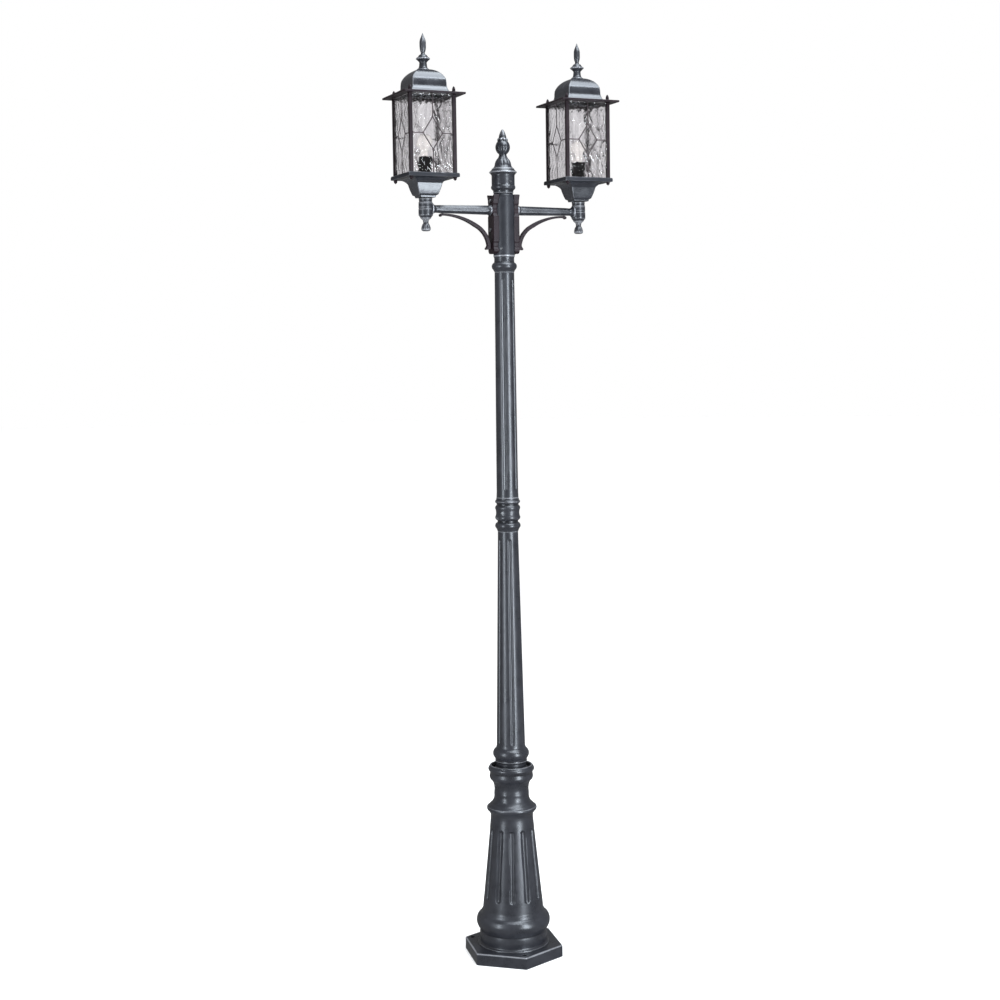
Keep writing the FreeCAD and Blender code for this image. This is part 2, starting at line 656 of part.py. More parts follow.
def post_finial():
    """Turned finial with a threaded stud."""
    stud = 18
    body = turned_body("post_finial", [
        ("0", "0"),
        ("post_finial_stud_radius", "0"),
        ("post_finial_stud_radius", f"{stud}"),
        ("post_finial_radius + 9", f"{stud}"),
        ("post_finial_radius + 2.6", f"{stud} + 9", "-1"),
        ("post_finial_radius - 3.9", f"{stud} + 26", "1.6"),
        ("post_finial_radius - 10.8", f"{stud} + 38", "-1"),
        ("post_finial_radius - 8.5", f"{stud} + 42", "-1"),
        ("post_finial_radius - 6.5", f"{stud} + 75", "6.6"),
        ("post_finial_radius - 6", f"{stud} + 80"),
        ("post_finial_radius - 8", f"{stud} + 84", "1"),
        ("post_finial_radius - 10.8", f"{stud} + 87"),
        ("post_finial_radius - 13.5", f"{stud} + 98", "0.6"),
        ("post_finial_radius - 19", f"{stud} + post_finial_height - 2", "0.6"),
        ("0", f"{stud} + post_finial_height")])
    place(body, "0", f"{HUB_FOOT} + hub_height + cap_height - {stud}")


# --- terminal board inside the pedestal -----------------------------------------------

def terminal_board():
    """Steel strip across the pedestal with the terminal block, its screws and earth stud."""
    board = new_body("terminal_board")
    strip = new_sketch(board, "strip")
    draw_outline(strip, box_outline("-board_length / 2", "-board_width / 2",
                                    "board_length / 2", "board_width / 2"))
    pad(board, "strip", strip, "board_thickness")
    block = new_body("terminal_block")
    base = new_sketch(block, "base")
    draw_outline(base, box_outline("-block_length / 2", "-block_width / 2",
                                   "block_length / 2", "block_width / 2"))
    pad(block, "base", base, "block_height")
    poles = 3
    screws = new_body("terminal_screws")
    holes = new_sketch(block, "holes", lift="block_height")
    heads = new_sketch(screws, "heads")
    for pole in range(poles):
        across = f"block_length / {poles} * {pole - (poles - 1) / 2}"
        for depth in ("-block_width / 4", "block_width / 4"):
            draw_circle(holes, across, depth, "2.7")
            draw_circle(heads, across, depth, "2.5")
    remove(block, "Pocket", "screw_hole", holes, Length=12)
    pad(screws, "head", heads, "10")
    stud = turned_body("earth_stud", [
        ("0", "0"), ("5", "0"), ("5", "4"), ("3", "4"), ("3", "10"), ("6", "10"),
        ("6", "15"), ("3", "15"), ("3", "22"), ("0", "22")])
    place(board, "0", "board_up")
    place(block, "0", "board_up + board_thickness")
    place(screws, "0", "board_up + board_thickness + block_height - 11")
    place(stud, "board_length / 2 - 22", "board_up - 4.5")
    hole = new_sketch(board, "stud_circle")
    draw_circle(hole, "board_length / 2 - 22", "0", "3.1")
    remove(board, "Pocket", "stud_hole", hole, Type="ThroughAll")


# --- arm ------------------------------------------------------------------------------

PLATE_SCREWS = ("67", "148")


def arm_plate(side, turn):
    """Shaped plate that clasps the hub, with horns above and scroll feet below."""
    body = new_body(f"{side}_arm_plate")
    face = new_sketch(body, "face", "YZ_Plane", "arm_plate_inset")
    half = [
        ("0", "5"),
        ("9", "0", "2"),
        ("arm_plate_width / 2 - 3", "3", "1.5"),
        ("arm_plate_width / 2 - 1", "14", "2.4"),
        ("arm_plate_width / 2 - 3", "24", "-1.4"),
        ("arm_plate_width / 2", "34", "-1.2"),
        ("arm_plate_width / 2", "104"),
        ("arm_plate_width / 2 - 5", "122", "-2.2"),
        ("arm_plate_width / 2 - 1", "141", "-2.2"),
        ("arm_plate_width / 2 + 1", "154", "-0.8"),
        ("arm_plate_width / 2 + 4", "arm_plate_height - 3"),
        ("arm_plate_width / 2 + 2", "arm_plate_height", "1.2"),
        ("arm_plate_width / 2 - 5", "arm_plate_height - 6", "-0.6"),
        ("0", "arm_plate_height - 9", "-1")]
    draw_outline(face, mirrored(half))
    pad(body, "plate", face, "arm_plate_reach - arm_plate_inset")
    saddle = new_sketch(body, "saddle")
    draw_circle(saddle, "0", "0", "hub_radius + 0.05")
    remove(body, "Pocket", "saddle", saddle, Type="ThroughAll", Midplane=True)
    holes = new_sketch(body, "holes", "YZ_Plane")
    draw_circle(holes, "0", "arm_up - arm_plate_up", "arm_bore_radius")
    for up in PLATE_SCREWS:
        draw_circle(holes, "0", up, "3.1")
    remove(body, "Pocket", "hole", holes, Type="ThroughAll", Reversed=True)
    place(body, "0", "arm_plate_up", turn)


def arm_screws(side, turn):
    """Pan-head screws that hold the arm plate on the hub."""
    body = new_body(f"{side}_arm_screws")
    shank_start = "hub_radius + 0.1"
    shank = new_sketch(body, "shank", "YZ_Plane", shank_start)
    head = new_sketch(body, "head", "YZ_Plane", "arm_plate_reach")
    for up in PLATE_SCREWS:
        draw_circle(shank, "0", up, "3")
        draw_circle(head, "0", up, "5.5")
    pad(body, "shank", shank, f"arm_plate_reach - ({shank_start})")
    pad(body, "head", head, "3")
    place(body, "0", "arm_plate_up", turn)


def mirrored(half):
    """A closed outline from its right half, given from the bottom centre to the top centre."""
    left = []
    for index in range(len(half) - 2, 0, -1):
        bow = half[index + 1][2:]
        left.append((f"-({half[index][0]})", half[index][1]) + bow)
    closing = half[1][2:]
    return [(half[0][0], half[0][1]) + closing] + list(half[1:]) + left


def octagon(flats):
    """The corners of an octagon with flats above, below and at both sides."""
    half_flat = math.tan(math.radians(22.5))
    near = f"{half_flat} * ({flats}) / 2"
    far = f"({flats}) / 2"
    return [(far, f"-{near}"), (far, near), (near, far), (f"-{near}", far),
            (f"-{far}", near), (f"-{far}", f"-{near}"), (f"-{near}", f"-{far}"),
            (near, f"-{far}")]


def arm(side, turn):
    """Tapered octagonal arm with a flange at each end and a bore for the wires."""
    body = new_body(f"{side}_arm")
    near = new_sketch(body, "near", "YZ_Plane", "arm_plate_reach")
    far = new_sketch(body, "far", "YZ_Plane", "arm_reach - socket_radius + 3")
    draw_outline(near, octagon("arm_hub_flats"))
    draw_outline(far, octagon("arm_end_flats"))
    loft = add_feature(body, "AdditiveLoft", "taper", near)
    loft.Sections = [far]
    loft.Ruled = True
    flanges = new_sketch(body, "flanges", "XZ_Plane")
    draw_outline(flanges, [
        ("arm_plate_reach", "0"),
        ("arm_plate_reach + 9", "0"),
        ("arm_plate_reach + 9", "arm_hub_flats / 2"),
        ("arm_plate_reach + 3", "arm_hub_flats / 2 + 2.2", "0.6"),
        ("arm_plate_reach", "arm_hub_flats / 2 + 2.2")])
    draw_outline(flanges, [
        ("arm_reach - socket_radius - 16", "0"),
        ("arm_reach - socket_radius + 3", "0"),
        ("arm_reach - socket_radius + 3", "16.5"),
        ("arm_reach - socket_radius - 2.5", "16.5"),
        ("arm_reach - socket_radius - 16", "arm_end_flats / 2 - 0.5", "2.2")])
    add_feature(body, "Revolution", "flanges", flanges,
                ReferenceAxis=(flanges, ["H_Axis"]), Angle=FULL_TURN)
    barrel = new_sketch(body, "barrel")
    draw_circle(barrel, "arm_reach", "0", "socket_radius + 0.05")
    remove(body, "Pocket", "barrel", barrel, Type="ThroughAll", Midplane=True)
    wires = new_sketch(body, "wires", "YZ_Plane")
    draw_circle(wires, "0", "0", "arm_bore_radius")
    remove(body, "Pocket", "wire_bore", wires, Type="ThroughAll", Reversed=True)
    place(body, "0", "arm_up", turn)


def arm_brace(side, turn):
    """Flat bar that curves from the arm plate's foot up to the underside of the arm."""
    body = new_body(f"{side}_arm_brace")
    curve = new_sketch(body, "curve", "XZ_Plane")
    shoulder = 1 - math.sqrt(0.5)
    upper_shoulder = math.sqrt(0.5)
    thick = 13
    thin = 5.5
    draw_outline(curve, [
        ("0.2", "0"),
        (f"{thick}", "-4", "2"),
        (f"{thick} + 3", "1", "4"),
        (f"{thick}", "6", "0.6"),
        (f"brace_span * {shoulder} + 10", f"brace_rise * {upper_shoulder} - 7", "-9"),
        ("brace_span", f"brace_rise - {thin}", "-6.8"),
        ("brace_span + 6", f"brace_rise - {thin} - 3.5", "-0.8"),
        ("brace_span + 8", "brace_rise - 1", "4"),
        ("brace_span", "brace_rise", "1"),
        (f"brace_span * {shoulder}", f"brace_rise * {upper_shoulder}", "7.2"),
        ("0.2", "2", "9.6")])
    pad(body, "bar", curve, "brace_width", Midplane=True)
    place(body, "0", "arm_plate_up + 16", turn)
    shift = "arm_plate_reach" if turn == 0 else "-arm_plate_reach"
    body.setExpression(".Placement.Base.x", formula(shift))


def arm_socket(side, across, turn):
    """Barrel at the arm's end that the lantern stands on."""
    body = turned_body(f"{side}_arm_socket", [
        ("rod_radius + rod_gap", "0"),
        ("socket_radius - 7.9", "0"),
        ("socket_radius - 5.1", "3"),
        ("socket_radius - 2.4", "8", "-0.6"),
        ("socket_radius", "12", "0.5"),
        ("socket_radius", "28"),
        ("socket_radius - 0.9", "29"),
        ("socket_radius - 0.9", "30.5"),
        ("socket_radius - 0.2", "31.5"),
        ("socket_radius - 0.6", "socket_height - 9"),
        ("socket_radius - 2", "socket_height - 6", "-0.4"),
        ("socket_radius - 1", "socket_height"),
        ("rod_radius + rod_gap", "socket_height")])
    wires = new_sketch(body, "wires", "YZ_Plane")
    draw_circle(wires, "0", "arm_up - socket_up", "arm_bore_radius - 1")
    remove(body, "Pocket", "wire_hole", wires, Type="ThroughAll", Reversed=False)
    place(body, across, "socket_up", turn)


def drop_finial(side, across):
    """Turned knob that closes the barrel from below and nips up the rod."""
    body = turned_body(f"{side}_drop_finial", [
        ("0", "0"),
        ("drop_finial_radius - 7", "0.4"),
        ("drop_finial_radius - 0.4", "5", "1.4"),
        ("drop_finial_radius - 6.2", "22", "1.8"),
        ("drop_finial_radius - 6", "25", "-0.4"),
        ("drop_finial_radius - 3", "drop_finial_height", "-0.8"),
        ("rod_radius + rod_gap", "drop_finial_height"),
        ("rod_radius + rod_gap", "10"),
        ("0", "8")])
    place(body, across, "socket_up - drop_finial_height")


def lantern_rod(side, across):
    """Hollow threaded rod from the drop finial up into the lamp holder."""
    body = turned_body(f"{side}_lantern_rod", box_outline(
        "rod_radius - rod_wall", "0", "rod_radius", "rod_length"))
    place(body, across, "socket_up - 22")


def rod_nuts():
    """Hexagon nuts that clamp each lantern's tray on its rod."""
    body = new_body("rod_nuts")
    corner = 9.8
    hexes = new_sketch(body, "hexes")
    for sign in ("-", ""):
        centre = f"{sign}arm_reach"
        draw_outline(hexes, [(f"{centre} + ({x})", y) for x, y in hexagon(str(corner))])
        draw_circle(hexes, centre, "0", "rod_radius + rod_gap")
    pad(body, "nuts", hexes, "6")
    place(body, "0", f"{TRAY_FOOT} + 9")


TRAY_FOOT = "socket_up + socket_height + gasket_thickness"
FRAME_FOOT = f"{TRAY_FOOT} + tray_height"
EAVE_FOOT = f"{FRAME_FOOT} + frame_height"
ROOF_FOOT = f"{EAVE_FOOT} + eave_thickness + seat_gap"


def gasket(side, across):
    """Rubber ring between the barrel and the tray."""
    body = turned_body(f"{side}_gasket", box_outline(
        "rod_radius + rod_gap", "0", "socket_radius - 1.6", "gasket_thickness"))
    place(body, across, "socket_up + socket_height")


# --- lantern --------------------------------------------------------------------------

def square_form(name, half):
    """A form that is square in plan, from half its outline, as two crossed extrusions."""
    extrusions = []
    for turn, direction in ((0, vec(0, 1, 0)), (90, vec(1, 0, 0))):
        sketch = doc.addObject("Sketcher::SketchObject", f"{name}_outline_{turn}")
        sketch.Placement = FreeCAD.Placement(
            vec(0, 0, 0), FreeCAD.Rotation(UP, turn) * FreeCAD.Rotation(vec(1, 0, 0), 90))
        draw_outline(sketch, mirrored(half))
        extrusion = doc.addObject("Part::Extrusion", f"{name}_extrusion_{turn}")
        extrusion.Base = sketch
        extrusion.DirMode = "Custom"
        extrusion.Dir = direction
        extrusion.setExpression("LengthFwd", "dims.eave_side")
        extrusion.Symmetric = True
        extrusion.Solid = True
        extrusions.append(extrusion)
    common = doc.addObject("Part::MultiCommon", name)
    common.Shapes = extrusions
    return common


def cut_from(name, base, tool):
    """One form cut from another."""
    cut = doc.addObject("Part::Cut", name)
    cut.Base = base
    cut.Tool = tool
    return cut


def round_tool(name, radius, height, across="0", depth="0", up="0"):
    """An upright cylinder to cut with."""
    tool = doc.addObject("Part::Cylinder", name)
    tool.setExpression("Radius", formula(radius))
    tool.setExpression("Height", formula(height))
    for axis, text in zip("xyz", (across, depth, up)):
        tool.setExpression(f".Placement.Base.{axis}", formula(text))
    return tool


POST_CENTRE = "(frame_side - corner_post_side) / 2"


def lantern_tray(side, across, turn):
    """Square cast tray with a moulded bowl beneath it, drilled for the rod and the posts."""
    name = f"{side}_lantern_tray"
    outer = square_form(name + "_outer", [
        ("0", "0"),
        ("tray_side / 2 - 52.2", "0"),
        ("tray_side / 2 - 51.7", "5"),
        ("tray_side / 2 - 46.7", "7.5"),
        ("tray_side / 2 - 37.2", "38", "2.2"),
        ("tray_side / 2 - 15", "tray_height - tray_rim", "-3"),
        ("tray_side / 2", "tray_height - tray_rim"),
        ("tray_side / 2", "tray_height - 3"),
        ("tray_side / 2 - 1.5", "tray_height"),
        ("0", "tray_height")])
    inner = square_form(name + "_inner", [
        ("0", "9"),
        ("tray_side / 2 - 51", "9"),
        ("tray_side / 2 - 41", "37", "2"),
        ("tray_side / 2 - 18", "tray_height - 7", "-2.6"),
        ("tray_side / 2 - 18", "tray_height + 1"),
        ("0", "tray_height + 1")])
    dish = cut_from(name + "_dish", outer, inner)
    tools = [round_tool(name + "_rod_hole", "rod_radius + rod_gap", "tray_height", up="-1")]
    for number_of_post, (x_sign, y_sign) in enumerate(((1, 1), (1, -1), (-1, 1), (-1, -1))):
        tools.append(round_tool(
            f"{name}_stud_hole_{number_of_post}", "frame_stud_radius + 0.1", "tray_height",
            f"{x_sign} * {POST_CENTRE}", f"{y_sign} * {POST_CENTRE}", "tray_height / 2"))
    drills = doc.addObject("Part::MultiFuse", name + "_drills")
    drills.Shapes = tools
    tray = cut_from(name, dish, drills)
    tray.Label = name
    nodes.append(tray)
    place(tray, across, TRAY_FOOT, turn)


def corner_posts(side, across, turn):
    """Four square posts with threaded ends."""
    body = new_body(f"{side}_corner_posts")
    post = new_sketch(body, "post")
    inner = "frame_side / 2 - corner_post_side"
    draw_outline(post, box_outline(inner, inner, "frame_side / 2", "frame_side / 2"))
    stud = new_sketch(body, "stud", lift="-tray_rim - 7")
    draw_circle(stud, POST_CENTRE, POST_CENTRE, "frame_stud_radius")
    length = "frame_height + tray_rim + eave_thickness + 14"
    features = [pad(body, "post", post, "frame_height"), pad(body, "stud", stud, length)]
    pattern(body, features, 4)
    place(body, across, FRAME_FOOT, turn)


def frame_nuts(side, across, turn):
    """Pointed cap nuts on the posts' threaded ends, above the eave and under the tray."""
    body = new_body(f"{side}_frame_nuts")
    features = []
    seats = (("above", "frame_height + eave_thickness", 1, "upper_nut_height"),
             ("below", "-tray_rim", -1, "lower_nut_height"))
    for name, seat, sign, height in seats:
        outline = new_sketch(body, name, "XZ_Plane")
        outline.AttachmentOffset = FreeCAD.Placement(
            vec(0, 0, 0), FreeCAD.Rotation(vec(0, 1, 0), 45))
        far = f"1.41421356 * {POST_CENTRE}"
        points = [
            (f"{far}", f"{seat} + {sign} * 8"),
            (f"{far}", f"{seat} + {sign} * {height}"),
            (f"{far} + frame_nut_radius - 3", f"{seat} + {sign} * ({height} - 2)", 0),
            (f"{far} + frame_nut_radius - 0.6", f"{seat} + {sign} * 4", 0.9),
            (f"{far} + frame_nut_radius", f"{seat} + {sign} * 3", 0),
            (f"{far} + frame_nut_radius", f"{seat}", 0),
            (f"{far} + frame_stud_radius + 0.1", f"{seat}", 0),
            (f"{far} + frame_stud_radius + 0.1", f"{seat} + {sign} * 8", 0)]
        bowed = [(point[0], point[1], f"{-sign * point[2]}") if len(point) > 2 else point
                 for point in points]
        draw_outline(outline, bowed)
        axis = outline.addGeometry(Part.LineSegment(
            vec(number(far), 0, 0), vec(number(far), 1, 0)), True)
        outline.addConstraint(Sketcher.Constraint("Vertical", axis))
        add_constraint(outline, "DistanceX", (-1, 1, axis, 1), far)
        features.append(add_feature(body, "Revolution", name + "_nut", outline,
                                    ReferenceAxis=(outline, ["Axis0"]), Angle=FULL_TURN))
    pattern(body, features, 4)
    place(body, across, FRAME_FOOT, turn)


PANE_OUTER = "frame_side / 2 - 3"


def glass_panes(side, across, turn):
    """Four glass panes between the corner posts."""
    body = new_body(f"{side}_glass_panes")
    pane = new_sketch(body, "pane")
    half = "frame_side / 2 - corner_post_side - pane_gap"
    draw_outline(pane, box_outline(f"{PANE_OUTER} - pane_thickness", f"-({half})",
                                   PANE_OUTER, half))
    pattern(body, [pad(body, "pane", pane, "frame_height - 2 * pane_gap")], 4)
    place(body, across, f"{FRAME_FOOT} + pane_gap", turn)


def pane_cames(side, across, turn):
    """Lead came on each pane: a diamond with a line from each of its points."""
    body = new_body(f"{side}_pane_cames")
    lift = f"{PANE_OUTER} + 0.05"
    middle = "frame_height / 2"
    half = "came_width / 2"
    edge = "frame_side / 2 - corner_post_side - 2 * pane_gap"
    ring = new_sketch(body, "ring", "YZ_Plane", lift)
    grow = 1.2
    for sign in ("+", "-"):
        wide = f"(diamond_width / 2 {sign} {half} * {grow})"
        tall = f"(diamond_height / 2 {sign} {half} * {grow} * diamond_height / diamond_width)"
        draw_outline(ring, [("0", f"{middle} - {tall}"), (wide, middle),
                            ("0", f"{middle} + {tall}"), (f"-{wide}", middle)])
    bars = new_sketch(body, "bars", "YZ_Plane", lift)
    draw_outline(bars, box_outline(f"-{half}", "pane_gap * 2",
                                   half, f"{middle} - diamond_height / 2"))
    draw_outline(bars, box_outline(f"-{half}", f"{middle} + diamond_height / 2",
                                   half, "frame_height - pane_gap * 2"))
    draw_outline(bars, box_outline(f"-({edge})", f"{middle} - {half}",
                                   "-diamond_width / 2", f"{middle} + {half}"))
    draw_outline(bars, box_outline("diamond_width / 2", f"{middle} - {half}",
                                   edge, f"{middle} + {half}"))
    features = [pad(body, "ring", ring, "came_depth"), pad(body, "bars", bars, "came_depth")]
    pattern(body, features, 4)
    place(body, across, FRAME_FOOT, turn)


def eave_plate(side, across, turn):
    """Square plate over the panes, open in the middle so that the lamp can be changed."""
    body = new_body(f"{side}_eave_plate")
    square = new_sketch(body, "square")
    draw_outline(square, box_outline("-eave_side / 2", "-eave_side / 2",
                                     "eave_side / 2", "eave_side / 2"))
    draw_outline(square, box_outline("-eave_opening / 2", "-eave_opening / 2",
                                     "eave_opening / 2", "eave_opening / 2"))
    for x_sign, y_sign in ((1, 1), (1, -1), (-1, 1), (-1, -1)):
        draw_circle(square, f"{x_sign} * {POST_CENTRE}", f"{y_sign} * {POST_CENTRE}",
                    "frame_stud_radius + 0.1")
    pad(body, "plate", square, "eave_thickness")
    place(body, across, EAVE_FOOT, turn)


def roof_bridge(side, across, turn):
    """Bar under the eave plate with the stud that holds the roof down."""
    body = new_body(f"{side}_roof_bridge")
    bar = new_sketch(body, "bar")
    draw_outline(bar, box_outline("-bridge_length / 2", "-bridge_width / 2",
                                  "bridge_length / 2", "bridge_width / 2"))
    pad(body, "bar", bar, "bridge_thickness")
    stud = new_sketch(body, "stud")
    draw_circle(stud, "0", "0", "roof_stud_radius")
    pad(body, "stud", stud, "roof_stud_height")
    place(body, across, f"{EAVE_FOOT} - bridge_thickness", turn)


def lantern_roof(side, across, turn):
    """Hollow domed roof, square in plan, with a flared skirt."""
    name = f"{side}_lantern_roof"
    outer = square_form(name + "_outer", [
        ("0", "0"),
        ("roof_half_side", "0"),
        ("roof_half_side - 0.8", "3", "0.2"),
        ("roof_half_side - 8", "28", "-2.4"),
        ("roof_half_side - 9.2", "39"),
        ("17", "roof_height", "5.4"),
        ("0", "roof_height")])
    inner = square_form(name + "_inner", [
        ("0", "-1"),
        ("roof_half_side - roof_wall", "-1"),
        ("roof_half_side - roof_wall", "2"),
        ("roof_half_side - 8 - roof_wall", "27", "-2.4"),
        ("roof_half_side - 9.2 - roof_wall", "38"),
        ("17", "roof_height - roof_wall", "4.8"),
        ("0", "roof_height - roof_wall")])
    shell = cut_from(name + "_shell", outer, inner)
    hole = round_tool(name + "_stud_hole", "roof_stud_radius + 0.4", "roof_height",
                      up="roof_height / 2")
    roof = cut_from(name, shell, hole)
    roof.Label = name
    nodes.append(roof)
    place(roof, across, ROOF_FOOT, turn)


def roof_finial(side, across):
    """Turned finial nut that screws down on the roof's stud."""
    body = turned_body(f"{side}_roof_finial", [
        ("roof_stud_radius + stud_gap", "0"),
        ("roof_finial_radius - 2.5", "0"),
        ("roof_finial_radius - 2.5", "2", "0.4"),
        ("roof_finial_radius - 8.3", "10", "-1.4"),
        ("roof_finial_radius - 9.3", "18"),
        ("roof_finial_radius - 5.8", "24", "-1"),
        ("roof_finial_radius - 0.4", "28.5", "-0.5"),
        ("roof_finial_radius - 0.4", "32", "0.6"),
        ("roof_finial_radius - 8.5", "40", "-1.2"),
        ("roof_finial_radius - 14.1", "45", "-1"),
        ("roof_finial_radius - 13", "49", "-0.4"),
        ("roof_finial_radius - 10.4", "70", "1"),
        ("roof_finial_radius - 14.9", "89", "1.6"),
        ("0", "roof_finial_height"),
        ("0", "22"),
        ("roof_stud_radius + stud_gap", "21")])
    place(body, across, f"{ROOF_FOOT} + roof_height + seat_gap")


# --- lamp and lamp holder -------------------------------------------------------------

HOLDER_FOOT = "socket_up - 22 + rod_length - 10"
CAP_FOOT = f"{HOLDER_FOOT} + holder_floor + 1"


def lamp_holder(side, across):
    """Round lamp holder screwed on the rod's upper end."""
    body = turned_body(f"{side}_lamp_holder", [
        ("rod_radius + rod_gap", "0"),
        ("12", "0"),
        ("12", "5"),
        ("holder_radius - 1", "10", "1"),
        ("holder_radius - 1", "26"),
        ("holder_radius", "27"),
        ("holder_radius", "holder_height - 2"),
        ("holder_radius - 2", "holder_height"),
        ("lamp_cap_radius + lamp_gap", "holder_height"),
        ("lamp_cap_radius + lamp_gap", "holder_floor"),
        ("rod_radius + rod_gap", "holder_floor")])
    place(body, across, HOLDER_FOOT)


def lamp(side, across):
    """Round-bulb screw-in lamp: cap, glass bulb and the stem inside it."""
    cap = turned_body(f"{side}_lamp_cap", [
        ("0", "0"), ("4.5", "0"), ("8", "3", "0.6"), ("lamp_cap_radius", "6"),
        ("lamp_cap_radius", "lamp_cap_height"), ("0", "lamp_cap_height")])
    place(cap, across, CAP_FOOT)
    start = 50                  # degrees below the bulb's equator where the neck begins
    sweep = math.radians((90 + start) / 2)
    low = math.sin(math.radians(start))
    wide = math.cos(math.radians(start))
    bow = 1 - math.cos(sweep)
    centre = "bulb_height - bulb_radius"
    hollow = "(bulb_radius - bulb_wall)"
    glass = turned_body(f"{side}_lamp_glass", [
        ("lamp_cap_radius - 1.7", "0"),
        ("lamp_cap_radius - 0.8", "0"),
        ("lamp_cap_radius - 0.6", "10"),
        (f"{wide} * bulb_radius", f"{centre} - {low} * bulb_radius", "-0.8"),
        ("0", "bulb_height", f"{bow} * bulb_radius"),
        ("0", "bulb_height - bulb_wall"),
        (f"{wide} * {hollow}", f"{centre} - {low} * {hollow}", f"-{bow} * {hollow}"),
        ("lamp_cap_radius - 1.5", "10", "0.8")])
    place(glass, across, f"{CAP_FOOT} + lamp_cap_height")
    stem = turned_body(f"{side}_lamp_stem", [
        ("0", "0"), ("9", "0"), ("5", "8", "-1.5"), ("3", "30"), ("4", "34"),
        ("0", "38")])
    place(stem, across, f"{CAP_FOOT} + lamp_cap_height")


def post():
    """Every piece of the post itself, from the ground up."""
    base_pedestal()
    lower_column()
    column_coupling()
    joint_sleeve()
    upper_column()
    head_collar()
    head_hub()
    post_cap()
    post_finial()
    terminal_board()
    rod_nuts()
    set_screws("pedestal_set_screws", "shaft_top_up + 92", PEDESTAL_SCREW_TURN, SET_SCREWS,
               "spigot_radius + 0.1", "waist_radius - 0.6")
    set_screws("coupling_set_screws", "lower_top_up + 54.5", COUPLING_SCREW_TURN, SET_SCREWS,
               "sleeve_radius + 0.1", "coupling_radius - 3.4")
    set_screws("hub_set_screw", f"{HUB_FOOT} + 18", HUB_SCREW_TURN, 1,
               "hub_bore_radius - 2", "hub_radius - 0.4")
    set_screws("cap_set_screw", f"{HUB_FOOT} + hub_height + 31", CAP_SCREW_TURN, 1,
               "cap_radius - 20", "cap_radius + 2")


def arm_and_lantern(side, sign, turn):
    """Every piece of one arm and its lantern."""
    across = f"{sign} * arm_reach"
    arm_plate(side, turn)
    arm_screws(side, turn)
    arm(side, turn)
    arm_brace(side, turn)
    arm_socket(side, across, turn)
    drop_finial(side, across)
    lantern_rod(side, across)
    gasket(side, across)
    lantern_tray(side, across, turn)
    corner_posts(side, across, turn)
    frame_nuts(side, across, turn)
    glass_panes(side, across, turn)
    pane_cames(side, across, turn)
    eave_plate(side, across, turn)
    roof_bridge(side, across, turn)
    lantern_roof(side, across, turn)
    roof_finial(side, across)
    lamp_holder(side, across)
    lamp(side, across)


def export():
    """Check every object of the document, then write one file for each sub-part."""
    doc.recompute()
    for item in doc.Objects:
        if "Invalid" in item.State or "Error" in item.State:
            raise RuntimeError(f"{item.Label} is {item.State}")
    for node in nodes:
        if node.Shape.isNull() or not node.Shape.isValid() or not node.Shape.Solids:
            raise RuntimeError(f"{node.Label} has no valid solid")
    os.makedirs("parts", exist_ok=True)
    for node in nodes:
        node.Shape.exportStep(f"parts/{node.Label}.step")
        box = node.Shape.BoundBox
        print(f"{node.Label}: {len(node.Shape.Solids)} solids, volume {node.Shape.Volume:.0f}, "
              f"z {box.ZMin:.1f} to {box.ZMax:.1f}, x {box.XMin:.1f} to {box.XMax:.1f}")


fill_sheet()
post()
for side_name, side_sign, side_turn in SIDES:
    arm_and_lantern(side_name, side_sign, side_turn)
export()
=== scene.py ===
"""Looks of the twin-arm street lamp post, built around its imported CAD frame.

Lengths in the outlines below are millimetres; everything that reaches Blender is in metres.
"""
import math

import bpy
import numpy as np
from mathutils import Matrix, Vector


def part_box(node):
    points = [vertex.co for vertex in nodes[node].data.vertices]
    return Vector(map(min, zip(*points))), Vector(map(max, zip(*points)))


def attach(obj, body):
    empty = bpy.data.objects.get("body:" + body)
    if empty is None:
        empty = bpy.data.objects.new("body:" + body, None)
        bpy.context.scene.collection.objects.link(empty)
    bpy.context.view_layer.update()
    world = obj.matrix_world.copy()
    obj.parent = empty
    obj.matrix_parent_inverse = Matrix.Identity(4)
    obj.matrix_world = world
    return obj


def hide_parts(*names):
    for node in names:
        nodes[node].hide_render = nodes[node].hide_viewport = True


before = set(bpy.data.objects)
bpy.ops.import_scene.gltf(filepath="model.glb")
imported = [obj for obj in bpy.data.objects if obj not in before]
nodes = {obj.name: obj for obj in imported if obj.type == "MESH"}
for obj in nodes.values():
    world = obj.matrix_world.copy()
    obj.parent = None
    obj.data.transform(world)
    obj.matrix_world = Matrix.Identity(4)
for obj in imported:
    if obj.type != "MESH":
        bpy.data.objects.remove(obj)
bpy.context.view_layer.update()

MM = 0.001
TURN = 2 * math.pi
SIDES = ("left", "right")
SEED = 7


def foot_of(node):
    """The middle of a node's underside, in metres."""
    low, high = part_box(node)
    return Vector(((low.x + high.x) / 2, (low.y + high.y) / 2, low.z))


def middle_of(node):
    """The middle of a node's box, in metres."""
    low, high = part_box(node)
    return (low + high) / 2


# --- outlines -------------------------------------------------------------------------

FINE_STEP = 0.25                # spacing of an outline's points before it is thinned, mm


